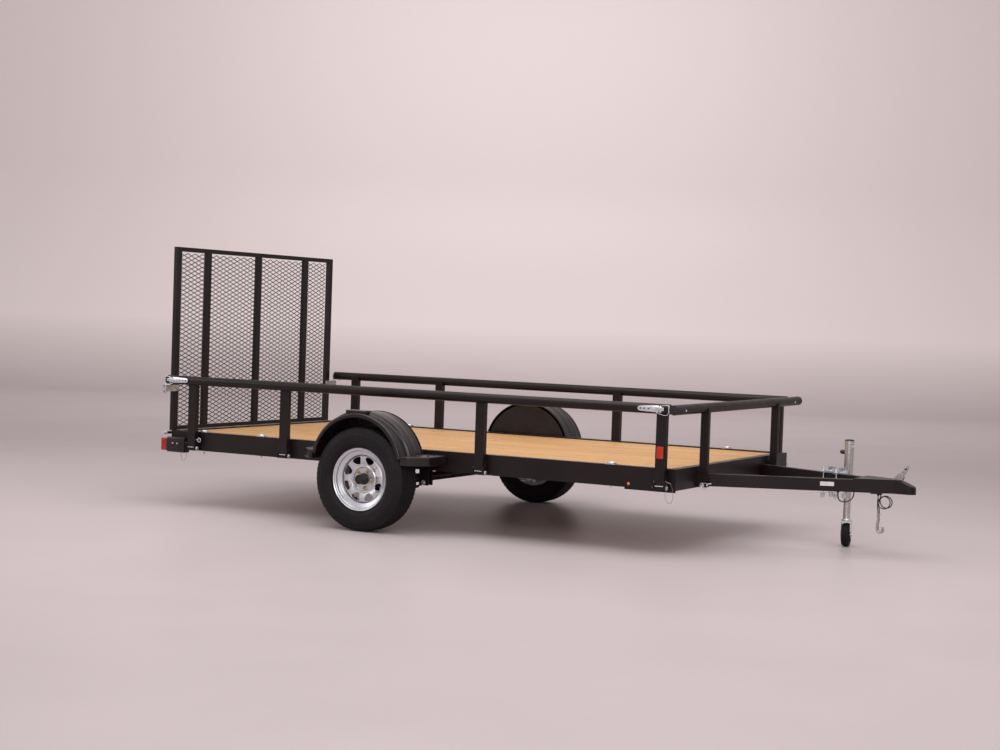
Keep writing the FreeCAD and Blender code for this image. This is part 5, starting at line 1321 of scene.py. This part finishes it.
def make_lamps(settings):
    """Lamp boxes with their rim, lens and screws, and markers as a bezel and a dome turned about Y.

    Each stands in the box of its own node.
    """
    for side, sign in SIDES.items():
        box, glass, marker = (np.sort(np.array([low(node + side), high(node + side)]) * (1, sign, 1), 0)
                              for node in ("tail_lamp_box_", "tail_lamp_lens_", "side_marker_"))
        screws = together(*(bolt((box[0, 0] + ahead, box[1, 1] - 0.0008, (box[0, 2] + box[1, 2]) / 2 + 0.010),
                                 LEFT, 0.0062, 0.0036) for ahead in LAMP_SCREWS))
        rim = slab(glass[0] + (0.049, 0, -0.003), glass[1] + (0.001, 0.0022, 0.003), 0, 0.011, 0.002)
        base = (marker[0] + marker[1]) / 2
        base[1] = marker[0, 1]
        bezel = turned([(0, 0), (0.0132, 0), (0.0132, 0.0030), (0.0122, 0.0046), (0.0104, 0.0050), (0.0098, 0.0030),
                        (0, 0.0030)], base, LEFT, 28)
        dome = turned([(0, 0.0028), (0.0097, 0.0028), (0.0096, 0.0062), (0.0080, 0.0086), (0.0045, 0.0098),
                       (0, 0.0102)], base, LEFT, 28)
        for name, piece, finish, slot, nodes in (
                ("lamp_housing_", together(slab(*box, 0, 0.010, 0.003), rim), "plastic", "black_steel",
                 ["tail_lamp_box_" + side]),
                ("lamp_glass_", slab(*glass, 0, 0.009, settings.edge, 5), "red", "red_lens",
                 ["tail_lamp_lens_" + side]),
                ("lamp_screws_", screws, "bright", "zinc", []),
                ("marker_bezel_", bezel, "plastic", "black_steel", []),
                ("marker_glass_", dome, "amber", "amber_lens", ["side_marker_" + side])):
            add(name + side, on_side(piece, sign), finish, "trailer", nodes)


class TrailerLamps(bpy.types.PropertyGroup):
    """Sizes of the lamps"""
    edge: metres("Lens edge", "Rounding of a tail lamp's lens", 0.006)


class TRAILER_OT_lamps(bpy.types.Operator):
    """Makes the tail lamps and the side markers"""
    bl_idname = "trailer.lamps"
    bl_label = "Lamps"

    def execute(self, context):
        make_lamps(context.scene.trailer_lamps)
        return {"FINISHED"}


# Tongue, jack and springs
# Middle of the blank label above the floor
LABEL_MIDDLE = 0.4405
# The jack's clamp bolts in the mount's own directions, and for each end its height, its way and the bare thread
CLAMP_BOLTS = ((-0.070, -0.060), (-0.070, 0.016), (0.040, -0.060), (0.040, 0.016))
CLAMP_ENDS = ((0.482, 1, 0.0), (0.386, -1, 0.046))
# The tie-down rings' bolts along X, and how far a corner plate's face lies under the frame there
RING_BOLTS = ((-2.1985, 0.012), (-1.7085, 0.0), (0.9115, 0.0))


def lever_piece():
    """The coupler's latch lever: two cheeks, a handle and two prongs cut from outlines in X and Z, and a cross pin."""
    base = np.array([middle("coupler_lever")[0], 0, low("coupler_lever")[2] - 0.001])
    foot = [(-0.045, 0.0), (0.012, 0.0), (0.020, 0.016), (0.012, 0.040), (-0.010, 0.042), (-0.038, 0.014)]
    arm = [(-0.020, 0.004), (0.010, 0.004), (0.026, 0.034), (0.042, 0.066), (0.034, 0.078), (0.018, 0.070),
           (-0.006, 0.040)]
    cuts = [(foot, 0.004, 0.0165, 0.004, 0.001), (foot, 0.004, -0.0125, 0.004, 0.001),
            (arm, 0.005, 0.0095, 0.019, 0.003)]
    for x, z, way in ((0.044, 0.090, 1), (0.018, 0.089, -1)):
        prong = [(0.031 - 0.009 * way, 0.062), (0.031 + 0.009 * way, 0.064), (x + 0.001 * way, z),
                 (x - 0.008 * way, z + 0.001)]
        cuts.append((prong[::way], 0.003, 0.0095, 0.019, 0.0015))
    pieces = [plate(rounded(outline, corner), base + (0, y, 0), (0, -1, 0), width, edge, AHEAD)
              for outline, corner, y, width, edge in cuts]
    pin = turned([(0, 0), (0.0055, 0), (0.0060, 0.001), (0.0060, 0.033), (0.0055, 0.034), (0, 0.034)],
                 base + (-0.008, -0.017, 0.013), LEFT, 18)
    return together(*pieces, pin)


def weld_bead(start, end, radius):
    """A rippled bead: a tube between two points whose radius swells with a sine along it."""
    share = np.linspace(0, 1, 60)[:, None]
    path = np.asarray(start, float) * (1 - share) + np.asarray(end, float) * share
    return tube(path, radius * (1 + 0.16 * np.sin(share[:, 0] * 60)), 10)


def make_tongue(settings):
    """The lever, the weld beads behind the coupler and at the front beam, and the label square to its beam."""
    add("coupler_latch_lever", lever_piece(), "fitting", "trailer", ["coupler_lever"])
    beam_low, top = low("tongue_beam_right"), high("tongue_beam_right")[2]
    back, front, angle = low("coupler")[0] - 0.001, float(high("front_beam")[0]), settings.tongue_angle
    beads = [weld_bead((back, sign * 0.094, top + 0.001), (back, sign * 0.141, top + 0.001), 0.0035)
             for sign in (1, -1)]
    beads += [weld_bead((front + 0.0012, sign * 0.520, z), (front + 0.0012, sign * 0.472, z), 0.0032)
              for sign in (1, -1) for z in (beam_low[2] + 0.012, top - 0.002)]
    add("tongue_welds", together(*beads), "black", "trailer")
    along_beam = np.array([math.cos(angle), math.sin(angle), 0])
    outward = np.array([along_beam[1], -along_beam[0], 0])
    x = settings.label_ahead
    spot = np.array([x, beam_low[1] + (x - front) * math.tan(angle), LABEL_MIDDLE])
    half, tall = settings.label_length / 2, settings.label_height / 2
    outline = rounded([(-half, -tall), (half, -tall), (half, tall), (-half, tall)], 0.002)
    add("tongue_label", plate(outline, spot - outward * 0.0002, outward, 0.0008, 0.0002, along_beam),
        "label", "trailer")


def clamp_nuts(settings, turn):
    """Nuts and thread ends of the four bolts that clamp the jack's mount, placed in its own turned directions."""
    shift = np.array([*settings.mount_place, 0])
    pieces = []
    for x, y in CLAMP_BOLTS:
        spot = turn @ np.array([x, y, 0]) + shift
        for z, way, thread in CLAMP_ENDS:
            pieces.append(bolt(spot + (0, 0, z - way * 0.0003), (0, 0, way), 0.0142, 0.0150))
            if thread:
                pieces.append(bolt(spot + (0, 0, z - 0.040), (0, 0, way), 0.0142, 0.0320))
            pieces.append(turned([(0, 0.012), (0.0056, 0.012), (0.0058, 0.020 + thread), (0.0048, 0.0245 + thread),
                                  (0, 0.0245 + thread)], spot + (0, 0, z), (0, 0, way), 14))
    return together(*pieces)


def make_jack(settings):
    """The jack's cap, rim, grip, collar and caster tread as profiles turned about their joints' axes, and its nuts.

    The grip's radius is 0.0126 m plus a sine of small height, and falls off towards both ends.
    """
    axis = np.array(JOINTS["caster_swivel"]["pos_m"]) * (1, 1, 0)
    turn = turn_about(UP, -settings.tongue_angle)
    ahead = turn @ np.array([1.0, 0, 0])
    top, crank, foot = (axis + (0, 0, z) for z in (high("jack_tube")[2], middle("jack_crank")[2], low("jack_leg")[2]))
    cap = turned([(0, -0.010), (0.0290, -0.010), (0.0297, -0.008), (0.0297, 0.0015), (0.0280, 0.0055), (0.0200, 0.0085),
                  (0, 0.0095)], top, UP, 40)
    rim = turned([(0.0280, -0.018), (0.0296, -0.018), (0.0300, -0.0165), (0.0300, -0.0115), (0.0296, -0.010),
                  (0.0280, -0.010)], top, UP, 40)
    stud = bolt(top + ahead * 0.0280 - (0, 0, 0.036), ahead, 0.0070, 0.0110)
    add("jack_cap", cap, "cap", "jack")
    add("jack_rim", together(rim, stud), "bright", "jack")
    share = np.linspace(0, 1, 45)
    radius = 0.0126 + 0.0007 * np.sin(share * 38) - 0.002 * np.maximum(0, np.abs(share - 0.5) - 0.42) / 0.08
    grip = [(0, 0.0), (0.0080, 0.0), (0.0095, 0.004), *zip(radius, 0.006 + 0.034 * share), (0.0085, 0.0416),
            (0, 0.0420)]
    add("jack_grip", turned(grip, crank - ahead * 0.0280, -ahead, 40), "cap", "jack", ["jack_crank"])
    collar = turned([(0.0215, 0.0005), (0.0290, 0.0005), (0.0305, 0.002), (0.0305, 0.0085), (0.0285, 0.011),
                     (0.0240, 0.013), (0.0232, 0.020), (0.0215, 0.021)], foot, UP, 40)
    add("jack_collar", collar, "bright", "jack_leg")
    side = [(0.0, -0.0205), (0.010, -0.0205), (0.0115, -0.019), (0.0120, -0.0130), (0.030, -0.0105), (0.046, -0.0120),
            (0.0490, -0.0175), (0.0530, -0.0212), (0.0600, -0.0234), (0.0680, -0.0228), (0.0725, -0.0180),
            (0.0742, -0.0110), (0.0744, -0.0085), (0.0728, -0.0080), (0.0728, -0.0060), (0.0748, -0.0055)]
    spin = JOINTS["caster_spin"]
    add("caster_tread", turned(side + [(r, -h) for r, h in side[::-1]], spin["pos_m"], spin["axis"], 64), "rubber",
        "caster_wheel", ["caster_wheel"])
    add("jack_clamp_nuts", clamp_nuts(settings, turn), "bright", "trailer")


def make_springs(settings):
    """Clamps over the axle with their tie plates and nuts, the eyes' bolts and the tie-down rings' bolts.

    A clamp is a tube along a leg, half a circle about the axle's axis and a leg.
    """
    x, height, reach = WHEEL[0], settings.axle_height, settings.clamp_reach
    angle = np.linspace(0, math.pi, 13)
    arch = np.stack([x + reach * np.cos(angle), 0 * angle, height + reach * np.sin(angle)], -1)
    for side, sign in SIDES.items():
        y = settings.spring_side
        pieces = []
        bottom = low("leaf_spring_" + side)[2]
        for shift in (-0.0295, 0.0295):
            path = np.vstack([[(x + reach, 0, bottom - 0.022)], [(x + reach, 0, bottom + 0.02)], arch,
                              [(x - reach, 0, bottom + 0.02)], [(x - reach, 0, bottom - 0.022)]]) + (0, y + shift, 0)
            pieces.append(tube(path, 0.0058, 12))
            pieces += [bolt((x + reach * way, y + shift, bottom - 0.0075), (0, 0, -1), 0.0105, 0.0095)
                       for way in (1, -1)]
        pieces.append(slab((x - 0.052, y - 0.043, bottom - 0.0078), (x + 0.052, y + 0.043, bottom - 0.0004), 2, 0.008))
        for way in (1, -1):
            for face, out in ((high("spring_hangers_left")[1], 1), (low("spring_hangers_left")[1], -1)):
                pieces.append(bolt((x + way * settings.half_span, face - out * 0.0004, settings.eye_height),
                                   (0, out, 0), 0.0118, 0.0092))
        for ahead, drop in RING_BOLTS:
            spot = (ahead, settings.ring_side, FRAME_BOTTOM - drop + 0.0004)
            pieces += [bolt(spot, (0, 0, -1), 0.0085, 0.0065),
                       turned([(0, 0.005), (0.0040, 0.005), (0.0042, 0.014), (0.0034, 0.0165), (0, 0.0165)], spot,
                              (0, 0, -1), 14)]
        add("spring_clamps_" + side, on_side(together(*pieces), sign), "bright", "trailer")


class TrailerTongue(bpy.types.PropertyGroup):
    """Places on the tongue"""
    tongue_angle: angle_of("Tongue angle", "A tongue beam's angle to the middle line", math.radians(25))
    label_ahead: metres("Label ahead", "Middle of the blank label along X", 2.017)
    label_length: metres("Label length", "Length of the blank label", 0.084)
    label_height: metres("Label height", "Height of the blank label", 0.025)
    mount_place: bpy.props.FloatVectorProperty(
        name="Mount place", description="Where the jack's mount meets its beam", size=2,
        default=(1.9415, 0.24344), unit="LENGTH")


class TrailerSprings(bpy.types.PropertyGroup):
    """Places at the axle and the springs, and of the tie-down rings"""
    axle_height: metres("Axle height", "Axis of the axle tube above the floor", 0.296)
    clamp_reach: metres("Clamp reach", "A spring clamp's leg from the axle's axis", 0.0362)
    spring_side: metres("Spring side", "A spring's middle out from the middle line", 0.920)
    ring_side: metres("Ring side", "The tie-down rings' bolts out from the middle", 0.940)
    half_span: metres("Half span", "A spring's eye from the axle along X", 0.290)
    eye_height: metres("Eye height", "A spring's eye above the floor", 0.312)


class TRAILER_OT_tongue(bpy.types.Operator):
    """Makes the coupler's lever, the tongue's welds and its blank label"""
    bl_idname = "trailer.tongue"
    bl_label = "Tongue"

    def execute(self, context):
        make_tongue(context.scene.trailer_tongue)
        return {"FINISHED"}


class TRAILER_OT_jack(bpy.types.Operator):
    """Makes the jack's cap, rim, grip and collar, its caster's tread and the nuts of its mount"""
    bl_idname = "trailer.jack"
    bl_label = "Jack"

    def execute(self, context):
        make_jack(context.scene.trailer_tongue)
        return {"FINISHED"}


class TRAILER_OT_springs(bpy.types.Operator):
    """Makes the springs' clamps, the bolts at their eyes and the tie-down rings' bolts"""
    bl_idname = "trailer.springs"
    bl_label = "Springs"

    def execute(self, context):
        make_springs(context.scene.trailer_springs)
        return {"FINISHED"}


# Stage
# The floor's reach, where it starts to bend up, the bend's radius, the backdrop's top, and a turn that faces the camera
FLOOR_REACH, FLOOR_FLAT, FLOOR_BEND, WALL_HEIGHT = 30.0, 16.0, 4.0, 10.0
STAGE_TURN = 0.5064
# The soft lights: name, place, the point they shine at, size in metres and power in watts
LIGHTS = (("top_light", (0.5, -1.5, 6.0), (0, 0, 0), (8, 6), 400),
          ("near_light", (4.5, -8.5, 3.8), (0, 0, 0.6), (6, 3), 230),
          ("side_light", (-7.0, -4.0, 3.6), (0, 0, 0.6), (4, 4), 100),
          ("wall_light", (-4.9, 8.7, 8.5), (-9.7, 17.5, 3.0), (12, 4), 500))


def stage_floor(settings):
    """A floor that turns up into a backdrop behind the trailer: flat, a quarter circle, then upright."""
    angle = np.linspace(0, math.pi / 2, 24)
    bend = np.stack([FLOOR_FLAT + FLOOR_BEND * np.sin(angle), FLOOR_BEND * (1 - np.cos(angle))], -1)
    profile = np.vstack([(-FLOOR_REACH, 0.0), bend, (FLOOR_FLAT + FLOOR_BEND, WALL_HEIGHT)])
    across = np.linspace(-FLOOR_REACH, FLOOR_REACH, 12)
    points = np.zeros((len(across), len(profile), 3))
    points[..., 0] = across[:, None]
    points[..., 1:] = profile
    verts, sets = grid(points @ turn_about(UP, STAGE_TURN).T)
    mesh = bpy.data.meshes.new("stage_floor")
    mesh.from_pydata(verts.tolist(), [], sets[0].tolist())
    mesh.shade_smooth()
    floor = bpy.data.objects.new("stage_floor", mesh)
    bpy.context.scene.collection.objects.link(floor)
    f = Finish("pale_floor")
    ground = f.ramp(f.noise(0.9, 5.0), (0.3, settings.floor_dark), (0.75, settings.floor_light))
    height = f.node("SeparateXYZ", Vector=f.where).outputs["Z"]
    mesh.materials.append(f.finished(f.mix(f.rise(height, 0.0, 1.2), ground, settings.wall), 0.42))


def lamp(name, place, aim, size, power, tint=(1.0, 0.97, 0.95)):
    """A rectangular light of a size and power that stands at a place and shines towards another."""
    light = bpy.data.lights.new(name, "AREA")
    light.shape, light.size, light.size_y = "RECTANGLE", size[0], size[1]
    light.energy, light.color = power, tint
    thing = bpy.data.objects.new(name, light)
    thing.rotation_euler = (Vector(aim) - Vector(place)).to_track_quat("-Z", "Y").to_euler()
    thing.location = place
    bpy.context.scene.collection.objects.link(thing)


def set_camera(place, yaw, pitch, roll, focal):
    """The camera looks along (-sin yaw cos pitch, cos yaw cos pitch, sin pitch) and is rolled about that."""
    forward = Vector((-math.sin(yaw) * math.cos(pitch), math.cos(yaw) * math.cos(pitch), math.sin(pitch)))
    side = Vector((math.cos(yaw), math.sin(yaw), 0.0))
    upward = side.cross(forward)
    right = side * math.cos(roll) + upward * math.sin(roll)
    up = upward * math.cos(roll) - side * math.sin(roll)
    data = bpy.data.cameras.new("view")
    data.lens, data.sensor_width, data.shift_y, data.clip_end = focal, 36.0, -0.001, 200.0
    thing = bpy.data.objects.new("view", data)
    turn = Matrix((right, up, -forward)).transposed().to_4x4()
    thing.matrix_world = Matrix.Translation(Vector(place)) @ turn
    bpy.context.scene.collection.objects.link(thing)
    bpy.context.scene.camera = thing


def make_stage(settings):
    """The floor, four soft lights, an even world and the camera, shown without a film look."""
    stage_floor(settings)
    for light in LIGHTS:
        lamp(*light)
    world = bpy.data.worlds.new("soft_room")
    world.use_nodes = True
    background = world.node_tree.nodes["Background"]
    background.inputs["Color"].default_value = shade((232, 224, 224))
    background.inputs["Strength"].default_value = 0.66
    bpy.context.scene.world = world
    set_camera(tuple(settings.camera_place), settings.camera_yaw, settings.camera_pitch,
               settings.camera_roll, settings.camera_lens)
    bpy.context.scene.view_settings.view_transform = "Standard"


class TrailerStage(bpy.types.PropertyGroup):
    """The floor's and backdrop's colours and the camera"""
    floor_dark: paint("Dark floor", "Darker tone of the floor", (182, 171, 174))
    floor_light: paint("Light floor", "Lighter tone of the floor", (188, 177, 180))
    wall: paint("Backdrop", "Colour of the backdrop", (238, 228, 228))
    camera_place: bpy.props.FloatVectorProperty(
        name="Camera place", description="Where the camera stands", default=(5.2876, -10.2574, 1.3801),
        subtype="TRANSLATION", unit="LENGTH")
    camera_yaw: angle_of("Yaw", "Turn of the view to the left of +Y", 0.50639)
    camera_pitch: angle_of("Pitch", "Tilt of the view above level", -0.03261)
    camera_roll: angle_of("Roll", "Turn of the picture about the view", 0.03397)
    camera_lens: bpy.props.FloatProperty(
        name="Lens", description="Focal length on a 36 mm wide picture", default=61.4455, unit="CAMERA")


class TRAILER_OT_stage(bpy.types.Operator):
    """Sets up the floor, the soft light and the camera"""
    bl_idname = "trailer.stage"
    bl_label = "Stage"

    def execute(self, context):
        make_stage(context.scene.trailer_stage)
        return {"FINISHED"}


# Registration
OPERATORS = (TRAILER_OT_finishes, TRAILER_OT_stage, TRAILER_OT_cables, TRAILER_OT_wheels, TRAILER_OT_fenders,
             TRAILER_OT_deck, TRAILER_OT_gate, TRAILER_OT_rails, TRAILER_OT_lamps, TRAILER_OT_tongue,
             TRAILER_OT_jack, TRAILER_OT_springs)
GROUPS = {"trailer_finishes": TrailerFinishes, "trailer_stage": TrailerStage, "trailer_cables": TrailerCables,
          "trailer_wheels": TrailerWheels, "trailer_fenders": TrailerFenders, "trailer_deck": TrailerDeck,
          "trailer_gate": TrailerGate, "trailer_rails": TrailerRails, "trailer_lamps": TrailerLamps,
          "trailer_tongue": TrailerTongue, "trailer_springs": TrailerSprings}


class TRAILER_PT_sidebar(bpy.types.Panel):
    """Lists the steps that build the trailer's looks"""
    bl_label = "Utility trailer"
    bl_idname = "TRAILER_PT_sidebar"
    bl_space_type = "VIEW_3D"
    bl_region_type = "UI"
    bl_category = "Trailer"

    def draw(self, context):
        for operator in OPERATORS:
            self.layout.operator(operator.bl_idname)
        for name, kind in GROUPS.items():
            settings = getattr(context.scene, name)
            for label in kind.__annotations__:
                self.layout.prop(settings, label)


def register():
    """Registers the classes and hangs each group of sizes and colours on the scene under its name."""
    for kind in (*GROUPS.values(), *OPERATORS, TRAILER_PT_sidebar):
        bpy.utils.register_class(kind)
    for name, kind in GROUPS.items():
        setattr(bpy.types.Scene, name, bpy.props.PointerProperty(type=kind))


def unregister():
    """Takes the groups off the scene and the classes out again, in the reverse order."""
    for name in GROUPS:
        delattr(bpy.types.Scene, name)
    for kind in reversed((*GROUPS.values(), *OPERATORS, TRAILER_PT_sidebar)):
        bpy.utils.unregister_class(kind)


def main():
    """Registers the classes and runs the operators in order."""
    register()
    for operator in OPERATORS:
        group, name = operator.bl_idname.split(".")
        getattr(getattr(bpy.ops, group), name)()


if __name__ == "__main__":
    main()
